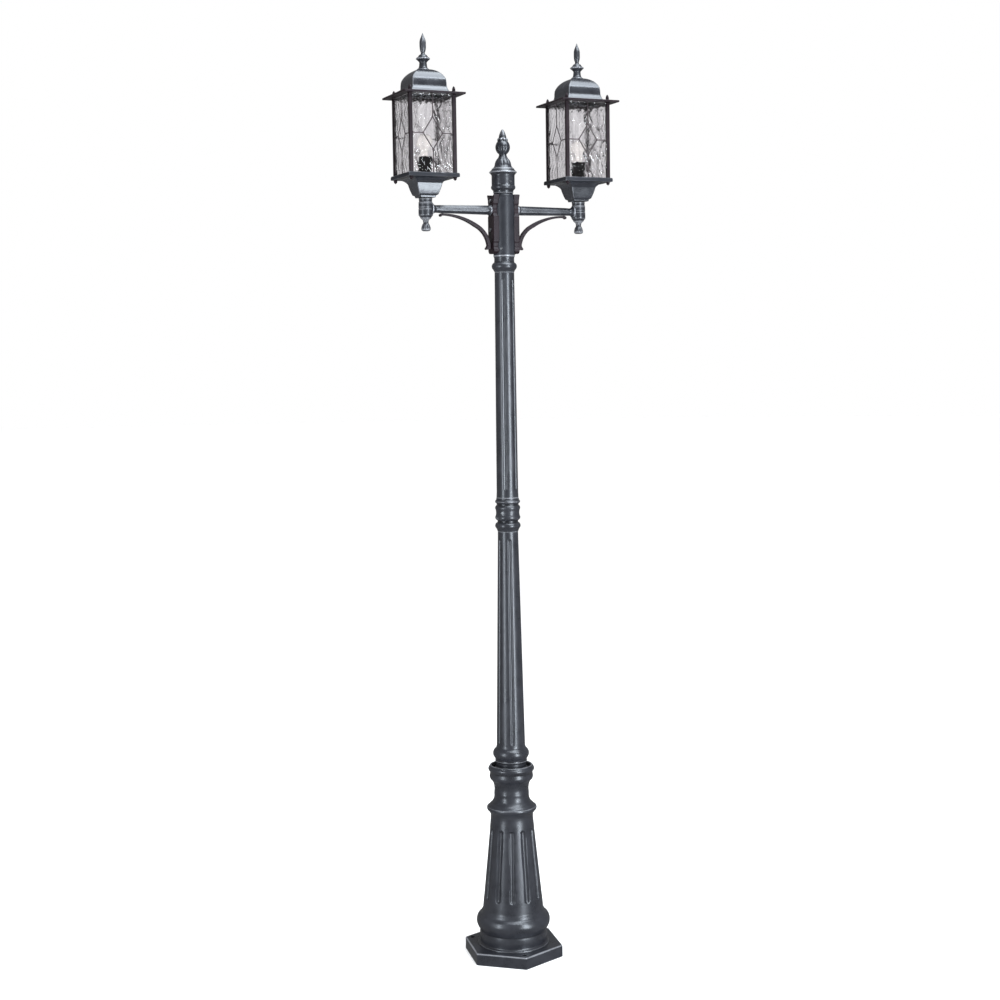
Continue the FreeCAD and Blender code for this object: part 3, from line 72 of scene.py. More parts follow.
def traced(points, closed):
    """Evenly spaced points along an outline of (radius, height[, bow]) corners."""
    run = list(points) + ([points[0]] if closed else [])
    fine = []
    for start, arrival in zip(run, run[1:]):
        begin = np.array(start[:2], float)
        chord = np.array(arrival[:2], float) - begin
        length = math.hypot(*chord)
        bow = arrival[2] if len(arrival) > 2 else 0
        count = max(2, round(length / FINE_STEP))
        share = np.arange(count) / count
        along = chord / length
        right = np.array([along[1], -along[0]])
        if bow:
            half = 2 * math.atan(2 * abs(bow) / length)
            radius = length / (2 * math.sin(half))
            sweep = (2 * share - 1) * half
            out = math.copysign(1, bow) * radius * (np.cos(sweep) - math.cos(half))
            way = length / 2 + radius * np.sin(sweep)
        else:
            out = np.zeros(count)
            way = share * length
        fine.append(begin + way[:, None] * along + out[:, None] * right)
    if not closed:
        fine.append(np.array([run[-1][:2]], float))
    return np.concatenate(fine)


def softened(fine, rounding, closed):
    """The outline with its corners eased, as a casting's are, and its ends kept."""
    reach = max(2, int(3 * rounding / FINE_STEP))
    weight = np.exp(-0.5 * (np.arange(-reach, reach + 1) * FINE_STEP / rounding) ** 2)
    weight /= weight.sum()
    if closed:
        padded = np.concatenate([fine[-reach:], fine, fine[:reach]])
    else:
        before = fine[reach:0:-1].copy()
        after = fine[-2:-reach - 2:-1].copy()
        for margin, end in ((before, fine[0]), (after, fine[-1])):
            if end[0] == 0:
                margin[:, 0] *= -1
            else:
                margin[:] = 2 * end - margin
        padded = np.concatenate([before, fine, after])
    return np.stack([np.convolve(padded[:, k], weight, "valid") for k in (0, 1)], axis=1)


def thinned(fine, longest, fine_spans, closed):
    """The outline with only the points that its curves need, and one beside each corner."""
    sharpest = math.radians(10)
    in_span = 1.3               # longest step where fine_spans asks for detail, mm
    beside_gap = 1.6            # from a corner to the point beside it, mm
    beside = round(beside_gap / FINE_STEP)
    step = np.diff(fine, axis=0)
    heading = np.unwrap(np.arctan2(step[:, 1], step[:, 0]))
    kept = [0]
    travelled = 0
    for index in range(1, len(fine) - 1):
        travelled += math.hypot(*step[index - 1])
        height = fine[index][1]
        limit = in_span if any(a <= height <= b for a, b in fine_spans) else longest
        if abs(heading[index] - heading[kept[-1]]) > sharpest or travelled > limit:
            kept.append(index)
            travelled = 0
    kept.append(len(fine) - 1)
    beside_corners = [near for a, b in zip(kept, kept[1:]) if b - a > 3 * beside
                      for near in (a + beside, b - beside)]
    kept = sorted(set(kept + beside_corners))
    return fine[kept[:-1] if closed else kept]


def outline(points, rounding=0.5, longest=12.0, fine_spans=(), closed=True):
    """A finished outline, in millimetres."""
    fine = softened(traced(points, closed), rounding, closed)
    return thinned(fine, longest, fine_spans, closed)


# --- pieces ---------------------------------------------------------------------------

def even_angles(count, start=0.0):
    """Angles round a full turn."""
    return start + TURN * np.arange(count) / count


def polygon_angles(sides, start=0.0):
    """Angles that gather near a polygon's corners, the first corner at start."""
    from_corner = np.radians([0, 0.5, 1.1, 1.9, 3.1, 5, 8, 12])
    half = math.pi / sides
    inner = np.linspace(from_corner[-1], half, 4)[1:]
    quarter = np.concatenate([from_corner, inner])
    side = np.concatenate([quarter, 2 * half - quarter[-2:0:-1]])
    return start + np.concatenate([side + 2 * half * k for k in range(sides)])


def polygon_radius(apothem, angle, sides, start, rounding):
    """How far a rounded polygon reaches at each angle."""
    half = math.pi / sides
    off_corner = np.abs((angle - start + half) % (2 * half) - half)
    off_flat = half - off_corner
    centre = (apothem - rounding) / math.cos(half)
    tangent = np.arctan((apothem - rounding) * math.tan(half) / apothem)
    flat = apothem / np.cos(off_flat)
    inside = np.maximum(rounding ** 2 - (centre * np.sin(off_corner)) ** 2, 0)
    curved = centre * np.cos(off_corner) + np.sqrt(inside)
    return np.where(off_flat <= tangent, flat, curved)


def piece_from(name, verts, faces):
    """A mesh object of the given vertices, in metres, and faces."""
    mesh = bpy.data.meshes.new(name)
    mesh.from_pydata(verts.tolist(), [], faces)
    mesh.validate()
    piece = bpy.data.objects.new(name, mesh)
    bpy.context.scene.collection.objects.link(piece)
    return piece


def turned_mesh(profile, angles, shape=None, closed=True):
    """Vertices, in millimetres, and faces of an outline turned about the upright axis."""
    count = len(angles)
    radius = np.repeat(profile[:, :1], count, axis=1)
    height = np.repeat(profile[:, 1:], count, axis=1)
    if shape:
        radius = shape(radius, height, angles[None, :])
    ring = np.stack([radius * np.cos(angles), radius * np.sin(angles), height], axis=-1)
    verts = []
    rings = []
    for row in ring:
        first = len(verts)
        if not closed and np.abs(row[:, :2]).max() < 1e-6:
            verts.append(row[0])
            rings.append([first] * count)
        else:
            verts.extend(row)
            rings.append(list(range(first, first + count)))
    faces = []
    pairs = list(zip(rings, rings[1:])) + ([(rings[-1], rings[0])] if closed else [])
    for low, high in pairs:
        for k in range(count):
            follow = (k + 1) % count
            corners = [low[k], low[follow], high[follow], high[k]]
            faces.append(list(dict.fromkeys(corners)))
    return np.array(verts), faces


def turned(name, profile, origin, angles, shape=None, closed=True, turn_to=None):
    """A piece turned about an upright axis through origin, or about the axis turn_to gives."""
    verts, faces = turned_mesh(profile, angles, shape, closed)
    verts = verts * MM
    if turn_to is not None:
        verts = verts @ np.array(turn_to.to_3x3().transposed())
    return piece_from(name, verts + np.array(origin), faces)


def joined(name, parts):
    """Several sets of (vertices, faces) as one piece, in metres."""
    verts = []
    faces = []
    start = 0
    for part_verts, part_faces in parts:
        verts.append(part_verts)
        faces += [[corner + start for corner in face] for face in part_faces]
        start += len(part_verts)
    return piece_from(name, np.concatenate(verts), faces)


def replaced_mesh(piece, modify):
    """Give a piece the mesh that it has once modify has set up its modifiers."""
    modify(piece)
    view = bpy.context.evaluated_depsgraph_get()
    mesh = bpy.data.meshes.new_from_object(piece.evaluated_get(view))
    old = piece.data
    piece.modifiers.clear()
    piece.data = mesh
    bpy.data.meshes.remove(old)


def drill(piece, holes):
    """Cut round holes, each (start, end, radius) in metres."""
    segments = 32
    parts = []
    for start, end, radius in holes:
        way = Vector(end) - Vector(start)
        turn = way.to_track_quat("Z", "Y").to_matrix()
        length = way.length / MM
        bar = np.array([[0, 0], [radius / MM, 0], [radius / MM, length], [0, length]])
        verts, faces = turned_mesh(bar, even_angles(segments), closed=False)
        parts.append((verts * MM @ np.array(turn.transposed()) + np.array(start), faces))
    tool = joined("drill", parts)

    def cut(target):
        boolean = target.modifiers.new("drill", "BOOLEAN")
        boolean.operation = "DIFFERENCE"
        boolean.solver = "EXACT"
        boolean.object = tool

    replaced_mesh(piece, cut)
    bpy.data.meshes.remove(tool.data)


def recast(name, node, voxel):
    """A copy of a CAD node's mesh with its edges worn round; voxel is in millimetres."""
    mesh = nodes[node].data.copy()
    mesh.materials.clear()
    piece = bpy.data.objects.new(name, mesh)
    bpy.context.scene.collection.objects.link(piece)

    def remesh(target):
        weld = target.modifiers.new("weld", "WELD")
        weld.merge_threshold = 0.02 * MM
        skin = target.modifiers.new("skin", "REMESH")
        skin.mode = "VOXEL"
        skin.voxel_size = voxel * MM
        skin.use_smooth_shade = True
        ease = target.modifiers.new("ease", "CORRECTIVE_SMOOTH")
        ease.factor = 0.5
        ease.iterations = 4
        ease.use_only_smooth = True

    replaced_mesh(piece, remesh)
    return piece


def add_relief(mesh):
    """Store how proud each vertex stands: 1 on a tight crest, -1 in a tight hollow."""
    full_relief = 4.0           # a crest of half this radius, in mm, counts as fully proud
    least_span = 0.04           # square millimetres, so that tiny edges don't count as sharp
    smoothings = 3
    count = len(mesh.vertices)
    place = np.empty(count * 3)
    mesh.vertices.foreach_get("co", place)
    place = place.reshape(-1, 3) / MM
    normal = np.empty(count * 3)
    mesh.vertex_normals.foreach_get("vector", normal)
    normal = normal.reshape(-1, 3)
    edge = np.empty(len(mesh.edges) * 2, int)
    mesh.edges.foreach_get("vertices", edge)
    first, second = edge.reshape(-1, 2).T
    step = place[first] - place[second]
    span = np.maximum((step ** 2).sum(1), least_span)
    highest = np.full(count, -10.0)
    lowest = np.full(count, 10.0)
    for here, bend in ((first, (normal[first] * step).sum(1) / span),
                       (second, -(normal[second] * step).sum(1) / span)):
        np.maximum.at(highest, here, bend)
        np.minimum.at(lowest, here, bend)
    relief = np.clip((highest + lowest) * full_relief, -1, 1)
    for _ in range(smoothings):
        total = relief.copy()
        share = np.ones(count)
        np.add.at(total, first, relief[second])
        np.add.at(total, second, relief[first])
        np.add.at(share, first, 1)
        np.add.at(share, second, 1)
        relief = total / share
    layer = mesh.attributes.new("relief", "FLOAT", "POINT")
    layer.data.foreach_set("value", relief.astype(np.float32))


def dress(piece, body, slot, material, *replaced, crease=50):
    """Finish a piece: its shading, relief, material, body and the nodes it replaces; slot is
    not used.
    """
    piece.data.materials.clear()
    piece.data.materials.append(material)
    piece.data.shade_smooth()
    piece.data.set_sharp_from_angle(angle=math.radians(crease))
    add_relief(piece.data)
    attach(piece, body)
    if replaced:
        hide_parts(*replaced)


# --- materials ------------------------------------------------------------------------

def feed(tree, item, inputs):
    """Give a node its inputs; each is a value or a socket to link."""
    for key, value in inputs.items():
        if isinstance(value, bpy.types.NodeSocket):
            tree.links.new(value, item.inputs[key])
        else:
            item.inputs[key].default_value = value


def add_node(tree, kind, inputs=None, **settings):
    """A shader node with its inputs and settings."""
    item = tree.nodes.new("ShaderNode" + kind)
    for setting, value in settings.items():
        setattr(item, setting, value)
    feed(tree, item, inputs or {})
    return item


def new_material(name):
    """An empty node material: its tree and its Principled shader."""
    material = bpy.data.materials.new(name)
    material.use_nodes = True
    tree = material.node_tree
    return material, tree, tree.nodes["Principled BSDF"]


def noise(tree, scale, detail=4, roughness=0.55, stretch=(1, 1, 1)):
    """The value of a noise in the object's own coordinates, per metre."""
    place = add_node(tree, "TexCoord").outputs["Object"]
    mapped = add_node(tree, "Mapping", {"Vector": place, "Scale": stretch})
    texture = add_node(tree, "TexNoise", {
        "Vector": mapped.outputs[0], "Scale": scale, "Detail": detail, "Roughness": roughness})
    return texture.outputs[0]


def spread(tree, value, low, high, to_low=0.0, to_high=1.0):
    """A value moved from one range to another, with soft ends."""
    return add_node(tree, "MapRange", {
        "Value": value, "From Min": low, "From Max": high,
        "To Min": to_low, "To Max": to_high},
        interpolation_type="SMOOTHSTEP").outputs["Result"]


def combine(tree, operation, first, second):
    """A sum, product or other combination of two values."""
    return add_node(tree, "Math", {0: first, 1: second}, operation=operation).outputs[0]


def blend_colour(tree, share, first, second):
    """A colour between two colours."""
    mix = add_node(tree, "Mix", {0: share}, data_type="RGBA")
    for socket, colour in ((mix.inputs[6], first), (mix.inputs[7], second)):
        if isinstance(colour, bpy.types.NodeSocket):
            tree.links.new(colour, socket)
        else:
            socket.default_value = (*colour, 1)
    return mix.outputs[2]


def bump(tree, height, distance, under=None):
    """The normal of a bump so many metres high, laid over the normal under, if any."""
    inputs = {"Height": height, "Distance": distance, "Strength": 1.0}
    if under is not None:
        inputs["Normal"] = under
    return add_node(tree, "Bump", inputs).outputs[0]


def rubbed_share(tree, relief, patches, speckle, rub):
    """How far the lacquer is rubbed through, 0 to 1: on the crests and in odd strokes."""
    strokes = noise(tree, 240, detail=3, stretch=(1, 1, 0.12))
    worn = combine(tree, "ADD", relief, spread(tree, patches, 0.45, 0.72, -0.05, 0.12))
    worn = combine(tree, "ADD", worn, spread(tree, strokes, 0.45, 0.75, -0.06, 0.08))
    worn = combine(tree, "ADD", worn, spread(tree, speckle, 0.35, 0.65, -0.06, 0.06))
    worn = combine(tree, "ADD", worn, rub)
    return spread(tree, worn, 0.18, 1.15)


def lacquer_and_hollow_shade(tree, relief, patches, black):
    """The lacquer, paler in patches, with painted shade darkening it in the hollows."""
    paler = [channel * 1.5 + 0.002 for channel in black]
    # Painted shade: a darker copy of the black, blended in where the relief sinks into a
    # hollow.
    hollow_shade_black = [channel * 0.7 for channel in black]
    tint = blend_colour(tree, spread(tree, patches, 0.3, 0.7), black, paler)
    hollow = spread(tree, relief, -0.6, -0.1, 1, 0)
    return blend_colour(tree, hollow, tint, hollow_shade_black)


def matt_above(tree, gloss, level, shine):
    """Roughness and specular level that turn matt above a height, in metres."""
    band = 0.001
    extra_roughness = 0.32
    shine_above = 0.2
    place = add_node(tree, "TexCoord").outputs["Object"]
    height = add_node(tree, "SeparateXYZ", {0: place}).outputs["Z"]
    specular = spread(tree, height, level, level + band, shine, shine_above)
    duller = spread(tree, height, level, level + band, 0, extra_roughness)
    return combine(tree, "ADD", gloss, duller), specular


def rubbed_casting(name, black, silver, rub=0.0, grain=1.0, dull=0.28, shine=0.9,
                   dull_above=None):
    """Lacquered casting, its crests and odd strokes rubbed through to silver."""
    pit_depth = 0.00008
    swell_depth = 0.00025
    material, tree, shader = new_material(name)
    relief = add_node(tree, "Attribute", attribute_name="relief").outputs["Fac"]
    patches = noise(tree, 22, detail=6, roughness=0.6)
    speckle = noise(tree, 900, detail=2)
    mask = rubbed_share(tree, relief, patches, speckle, rub)
    # Painted shade: the lacquer colour is darkened in the hollows, where shade falls.
    tint = lacquer_and_hollow_shade(tree, relief, patches, black)
    gloss = combine(tree, "ADD", spread(tree, patches, 0.3, 0.7, dull, dull + 0.07),
                    combine(tree, "MULTIPLY", mask, 0.10))
    gloss = combine(tree, "ADD", gloss, spread(tree, speckle, 0.3, 0.7, -0.03, 0.03))
    specular = shine
    if dull_above:
        gloss, specular = matt_above(tree, gloss, dull_above, shine)
    pits = bump(tree, noise(tree, 620, detail=5, roughness=0.65), pit_depth * grain)
    skin = bump(tree, noise(tree, 70, detail=2), swell_depth * grain, under=pits)
    feed(tree, shader, {
        "Base Color": blend_colour(tree, mask, tint, silver),
        "Metallic": spread(tree, mask, 0, 1, 0.0, 0.85), "Roughness": gloss,
        "Normal": skin, "Specular IOR Level": specular,
        "Specular Tint": (0.93, 0.95, 1.0, 1)})
    return material


def plain_metal(name, colour, dull, roughness):
    """Bare or plated metal with duller patches and fine machining marks."""
    mark_depth = 0.00004
    material, tree, shader = new_material(name)
    patches = noise(tree, 140, detail=5)
    marks = noise(tree, 1500, detail=2)
    tint = blend_colour(tree, spread(tree, patches, 0.4, 0.7), colour, dull)
    rough = spread(tree, patches, 0.35, 0.7, roughness, roughness + 0.18)
    feed(tree, shader, {"Base Color": tint, "Metallic": 1.0, "Roughness": rough,
                        "Normal": bump(tree, marks, mark_depth)})
    return material


def moulded(name, colour, roughness, grain_scale, bite, shine=0.5):
    """Moulded plastic or rubber with a fine grain and a little dust."""
    material, tree, shader = new_material(name)
    dust = noise(tree, 60, detail=5)
    tint = blend_colour(tree, spread(tree, dust, 0.5, 0.75, 0, 0.6), colour,
                        [channel * 1.6 + 0.012 for channel in colour])
    rough = spread(tree, dust, 0.35, 0.7, roughness, roughness + 0.15)
    grain = bump(tree, noise(tree, grain_scale, detail=3), bite)
    feed(tree, shader, {"Base Color": tint, "Roughness": rough, "Normal": grain,
                        "Specular IOR Level": shine})
    return material


def leaded_came():
    """Brown-grey lead came, brighter on its crown and dull where it meets the glass."""
    material, tree, shader = new_material("came_lead")
    relief = add_node(tree, "Attribute", attribute_name="relief").outputs["Fac"]
    patches = noise(tree, 160, detail=5)
    crown = combine(tree, "ADD", relief, spread(tree, patches, 0.4, 0.7, -0.15, 0.25))
    tint = blend_colour(tree, spread(tree, crown, 0.15, 0.9), (0.009, 0.006, 0.007),
                        (0.070, 0.056, 0.060))
    feed(tree, shader, {
        "Base Color": tint, "Metallic": 0.6,
        "Roughness": spread(tree, patches, 0.3, 0.7, 0.34, 0.55),
        "Normal": bump(tree, noise(tree, 700, detail=4), 0.00015)})
    return material


def water_glass():
    """Clear glass with drawn streaks, faint seeds and a ripple too fine for the mesh."""
    ripple_depth = 0.00025
    material, tree, shader = new_material("water_glass")
    seeds = noise(tree, 330, detail=3, stretch=(1, 1, 0.5))
    streaks = noise(tree, 120, detail=4, roughness=0.6, stretch=(1, 1, 0.14))
    tint = blend_colour(tree, spread(tree, streaks, 0.40, 0.68), (0.905, 0.895, 0.91),
                        (0.72, 0.705, 0.725))
    feed(tree, shader, {
        "Base Color": tint, "Transmission Weight": 1.0, "IOR": 1.48,
        "Roughness": spread(tree, seeds, 0.6, 0.85, 0.0, 0.04),
        "Normal": bump(tree, seeds, ripple_depth)})
    return material


def pearl_glass_and_painted_glow():
    """Thin pearl glass of the lamp, milky and faintly warm where it is densest, with a faint
    painted glow.
    """
    material, tree, shader = new_material("bulb_glass")
    cloud = noise(tree, 90, detail=4)
    tint = blend_colour(tree, spread(tree, cloud, 0.35, 0.7), (1.0, 0.99, 0.98),
                        (0.96, 0.95, 0.935))
    feed(tree, shader, {
        "Base Color": tint, "Transmission Weight": 0.88, "IOR": 1.45,
        "Roughness": spread(tree, cloud, 0.3, 0.7, 0.10, 0.22),
        # Painted glow: a faint emission makes the bulb brighter than its surroundings, in
        # place of its highlights.
        "Emission Color": (1.0, 0.97, 0.93, 1), "Emission Strength": 0.12})
    return material


BLACK = (0.0118, 0.0126, 0.0165)
SILVER = (0.47, 0.48, 0.52)
BROWN_BLACK = (0.0100, 0.0052, 0.0072)
BROWN_SILVER = (0.20, 0.15, 0.17)
RIM_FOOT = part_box("left_lantern_tray")[1].z - 0.0115

casting = rubbed_casting("rubbed_black_casting", BLACK, SILVER)
casting_dark = rubbed_casting("lightly_rubbed_casting", BLACK, SILVER, rub=-0.18)
roof_casting = rubbed_casting("roof_casting", BLACK, SILVER, rub=-0.18, dull=0.19)
hub_casting = rubbed_casting("hub_casting", BLACK, SILVER, rub=-0.5, dull=0.36, shine=0.5)
tray_casting = rubbed_casting("tray_casting", BLACK, SILVER, rub=-0.45, dull=0.17,
                              dull_above=RIM_FOOT)
frame_finish = rubbed_casting("rubbed_frame", BROWN_BLACK, BROWN_SILVER, rub=-0.80,
                              grain=0.5, dull=0.36, shine=0.22)
came_finish = leaded_came()
pane_finish = water_glass()
bulb_finish = pearl_glass_and_painted_glow()
holder_finish = moulded("holder_plastic", (0.007, 0.007, 0.008), 0.42, 900, 0.00006,
                        shine=0.12)
terminal_finish = moulded("terminal_plastic", (0.42, 0.42, 0.40), 0.45, 900, 0.00004)
gasket_finish = moulded("gasket_rubber", (0.010, 0.010, 0.010), 0.62, 1200, 0.0001)
screw_finish = plain_metal("screw_steel", (0.50, 0.51, 0.53), (0.26, 0.26, 0.28), 0.24)
cap_finish = plain_metal("lamp_metal", (0.74, 0.70, 0.62), (0.50, 0.47, 0.42), 0.22)
brass_finish = plain_metal("brass", (0.74, 0.54, 0.26), (0.42, 0.29, 0.13), 0.27)

SLOT_FINISHES = {
    "cast_metal": casting, "frame_metal": frame_finish, "came_lead": came_finish,
    "pane_glass": pane_finish, "bulb_glass": bulb_finish, "lamp_metal": cap_finish,
    "screw_steel": screw_finish, "holder_plastic": holder_finish,
    "terminal_plastic": terminal_finish, "brass": brass_finish,
    "gasket_rubber": gasket_finish}

for node in nodes.values():
    slot_name = node.data.materials[0].name
    node.material_slots[0].link = "OBJECT"
    node.material_slots[0].material = SLOT_FINISHES[slot_name]


# --- post -----------------------------------------------------------------------------

def flute_depth(radius, height, angle, flutes, first, low, high, cutter, depth):
    """How deep a ring of round-ended flutes is sunk at each point, in millimetres."""
    eased = 0.7                 # rounding of a flute's lips
    pitch = TURN / flutes
    off = (angle - first + pitch / 2) % pitch - pitch / 2
    across = radius * off
    beyond = np.maximum(np.maximum(low + cutter - height, height - high + cutter), 0)
    sphere = np.sqrt(np.maximum(cutter ** 2 - across ** 2 - beyond ** 2, 0))
    sunk = sphere - (cutter - depth)
    return (sunk + np.sqrt(sunk ** 2 + eased ** 2)) / 2 * (sphere > 0)


FLANGE_TURN = math.radians(20.6)
HEXAGON = 6
PEDESTAL_FLUTES = 12
PEDESTAL_FLUTE_TURN = math.radians(35.6)


def pedestal_shape(radius, height, angle):
    """Hexagonal below the drum, round above it, and fluted on the tapered shaft."""
    corner_rounding = 3.0
    hexagonal = polygon_radius(radius, angle, HEXAGON, FLANGE_TURN, corner_rounding)
    share = np.clip((radius - 108) / 12, 0, 1) * (height < 36)
    plain = radius + (hexagonal - radius) * share
    sunk = flute_depth(radius, height, angle, PEDESTAL_FLUTES, PEDESTAL_FLUTE_TURN,
                       low=170, high=383, cutter=9, depth=5)
    surface = 89 - (height - 138) * 27 / 271
    outer_wall = (radius > 60) & (radius > surface - 4)
    return plain - sunk * outer_wall * (height > 165) * (height < 388)


SCREW_HOLE_RADIUS = 3.1


def screw_hole(level, turn, inner, outer):
    """A hole for a set screw, for drill; level in metres, radii in millimetres."""
    way = Vector((math.cos(turn), math.sin(turn), 0))
    lift = Vector((0, 0, level))
    return (way * inner * MM + lift, way * outer * MM + lift, SCREW_HOLE_RADIUS * MM)


def build_pedestal():
    """Pedestal casting: hexagonal flange, drum, rings, fluted shaft and cup."""
    profile = outline([
        (87.5, 24), (120.9, 24), (120.9, 0), (128.86, 0), (128.86, 32.5), (126.4, 35),
        (104, 35), (104, 38), (97.5, 44, -2), (97.5, 75, 1.6), (101.1, 82), (103.5, 87),
        (102.1, 120, 4.9), (92.3, 132, -2), (88.9, 138), (61.9, 409), (61.9, 416),
        (64.4, 424, -0.8), (70.6, 432, -0.6), (71.3, 443, 1.9), (65.6, 447, -0.5),
        (61.8, 451, 0.6), (51.1, 481, -4.2), (49.9, 493, -0.2), (52.1, 510, -0.6),
        (58, 521, -0.6), (61.8, 525, 0.5), (62.8, 537, 1.2), (61.7, 543), (63.4, 547),
        (63.5, 561, 3.6), (60.8, 565, 1), (58.5, 565, 0.6), (57, 562, 0.6),
        (55, 552, 0.4), (40.15, 552), (40.15, 466), (52.9, 419, -1.5), (54.9, 399),
        (81.9, 138), (87.5, 116)],
        rounding=0.7, longest=13, fine_spans=((168, 181), (372, 385)))
    piece = turned("pedestal_casting", profile, foot_of("base_pedestal"),
                   even_angles(24 * PEDESTAL_FLUTES, FLANGE_TURN), pedestal_shape)
    anchor_circle = 126
    anchor_radius = 6.5
    screw_level = 0.501
    holes = []
    for k in range(3):
        angle = FLANGE_TURN + TURN * k / 3
        way = Vector((math.cos(angle), math.sin(angle), 0)) * anchor_circle * MM
        holes.append((way + Vector((0, 0, 0.020)), way + Vector((0, 0, 0.040)),
                      anchor_radius * MM))
    holes += [screw_hole(screw_level, math.radians(66.4) + TURN * k / 3, 42, 60)
              for k in range(3)]
    drill(piece, holes)
    dress(piece, "post", "cast_metal", casting_dark, "base_pedestal", crease=40)


COLUMN_FLUTES = 6
LOWER_FLUTE_TURN = math.radians(-105.6)
UPPER_FLUTE_TURN = math.radians(-121.6)


def build_columns():
    """Both lengths of fluted column."""
    def lower_shape(radius, height, angle):
        sunk = flute_depth(radius, height, angle, COLUMN_FLUTES, LOWER_FLUTE_TURN,
                           low=156, high=757, cutter=6.2, depth=3)
        surface = 41.4 - (height - 152) * 12.2 / 625
        return radius - sunk * (radius > surface - 2) * (height > 152) * (height < 762)

    profile = outline([
        (35.5, 0), (40, 0), (40, 80), (46.4, 80), (46.4, 88, 1.2), (43.8, 91, -0.8),
        (43.8, 102), (45.8, 104), (45.8, 108, 0.8), (48.6, 116, -0.8), (47.4, 140, 4.6),
        (41.4, 152, -1.5), (29.2, 777), (25.05, 777), (25.05, 717), (35.5, 150)],
        rounding=0.5, longest=40, fine_spans=((154, 166), (748, 760)))
    piece = turned("lower_column_tube", profile, foot_of("lower_column"),
                   even_angles(24 * COLUMN_FLUTES, LOWER_FLUTE_TURN), lower_shape)
    dress(piece, "post", "cast_metal", casting_dark, "lower_column")

    def upper_shape(radius, height, angle):
        sunk = flute_depth(radius, height, angle, COLUMN_FLUTES, UPPER_FLUTE_TURN,
                           low=20, high=625, cutter=6.2, depth=3)
        return radius - sunk * (radius > 27.2) * (height > 18) * (height < 630)

    profile = outline([
        (25.05, 0), (31.9, 0), (31, 18, -0.2), (27.9, 642), (22.4, 642), (22.4, 65),
        (25.05, 60)], rounding=0.5, longest=40, fine_spans=((19, 31), (615, 628)))
    piece = turned("upper_column_tube", profile, foot_of("upper_column"),
                   even_angles(24 * COLUMN_FLUTES, UPPER_FLUTE_TURN), upper_shape)
    dress(piece, "post", "cast_metal", casting_dark, "upper_column")


def build_post_fittings():
    """Coupling, collar, hub and cap."""
    around = even_angles(112)
    profile = outline([
        (24.9, 0), (29.8, 0), (31.6, 5, -0.4), (33, 9), (33, 25, 3.7), (29.5, 27.5),
        (29.5, 31.5), (34.1, 35), (34.5, 46, 2), (34.5, 63, -0.9), (34.1, 74, 2),
        (31.4, 76.5), (31.4, 80), (33.2, 81.5), (33.2, 91, 2.9), (31.9, 98), (24.9, 98)],
        rounding=0.5, longest=5)
    piece = turned("coupling_casting", profile, foot_of("column_coupling"), around)
    level = middle_of("coupling_set_screws").z
    drill(piece, [screw_hole(level, math.radians(-142) + TURN * k / 3, 26, 42)
                  for k in range(3)])
    dress(piece, "post", "cast_metal", casting, "column_coupling", crease=40)

    profile = outline([
        (22.3, 0), (27.9, 0), (31.4, 7, -0.5), (31.8, 8), (31.8, 26, 4), (28.5, 29, -0.4),
        (28.3, 38), (30.2, 44, -0.6), (30.5, 48), (22.3, 48)], rounding=0.5, longest=5)
    piece = turned("collar_casting", profile, foot_of("head_collar"), around)
    dress(piece, "post", "cast_metal", casting, "head_collar")

    profile = outline([
        (17.5, 0), (22.2, 0), (22.2, 90), (30.5, 90), (30.5, 255), (24.5, 264, 1.6),
        (17.5, 264)], rounding=0.5, longest=12)
    piece = turned("hub_casting", profile, foot_of("head_hub"), around)
    level = middle_of("hub_set_screw").z
    drill(piece, [screw_hole(level, math.radians(-128), 26, 36)])
    dress(piece, "post", "cast_metal", hub_casting, "head_hub", crease=40)

    profile = outline([
        (11.7, 0), (16.9, 0), (16.9, 20), (28.5, 20), (28.5, 27), (31.3, 30),
        (32.3, 42, 2.8), (32.7, 44), (32.7, 68), (34.8, 73, -0.8), (38.7, 77, -0.6),
        (38.7, 80, 0.6), (31.2, 89, -1), (5.1, 89), (5.1, 68), (11.7, 60)],
        rounding=0.5, longest=6)
    piece = turned("cap_casting", profile, foot_of("post_cap"), around)
    level = middle_of("cap_set_screw").z
    drill(piece, [screw_hole(level, math.radians(-75), 12.5, 42)])
    dress(piece, "post", "cast_metal", casting, "post_cap", crease=40)


def lobes(angle, count, start=0.0):
    """1 along the middle of each lobe, falling to 0 in the creases between them."""
    return np.abs(np.cos((angle - start) * count / 2))


def bell(value, low, high):
    """Rises from 0 at low to 1 midway and falls to 0 at high."""
    share = np.clip((value - low) / (high - low), 0, 1)
    return np.sin(share * math.pi) ** 2


def build_post_finial():
    """Finial of the post: leafy foot, lobed ball, crown of leaf tips and pointed bud."""
    leaves = 8

    def shape(radius, height, angle):
        foot = bell(height, 17, 58) * 2.0 * (1 - lobes(angle, leaves) ** 0.7)
        ball = bell(height, 56, 92) * 1.8 * (1 - lobes(angle, leaves, math.pi / leaves) ** 0.8)
        crown = bell(height, 91, 105) * 3.4 * (1 - lobes(angle, leaves) ** 1.2)
        bud = bell(height, 102, 127) * 1.3 * (1 - lobes(angle, leaves / 2))
        return np.maximum(radius - (foot + ball + crown + bud) * (radius > 2), 0)

    profile = outline([
        (0, 0), (5, 0), (5, 18), (30.5, 18), (24.1, 27, -1), (17.6, 44, 1.6),
        (10.7, 56, -1), (13, 60, -1), (15, 93, 6.6), (15.8, 98), (13.5, 102, 1),
        (10.7, 105), (8, 116, 0.6), (2.5, 126, 0.6), (0, 128)],
        rounding=0.4, longest=2, closed=False)
    piece = turned("post_finial_casting", profile, foot_of("post_finial"), even_angles(144),
                   shape, closed=False)
    dress(piece, "post", "cast_metal", casting, "post_finial")


# --- arms -----------------------------------------------------------------------------

OCTAGON = 8


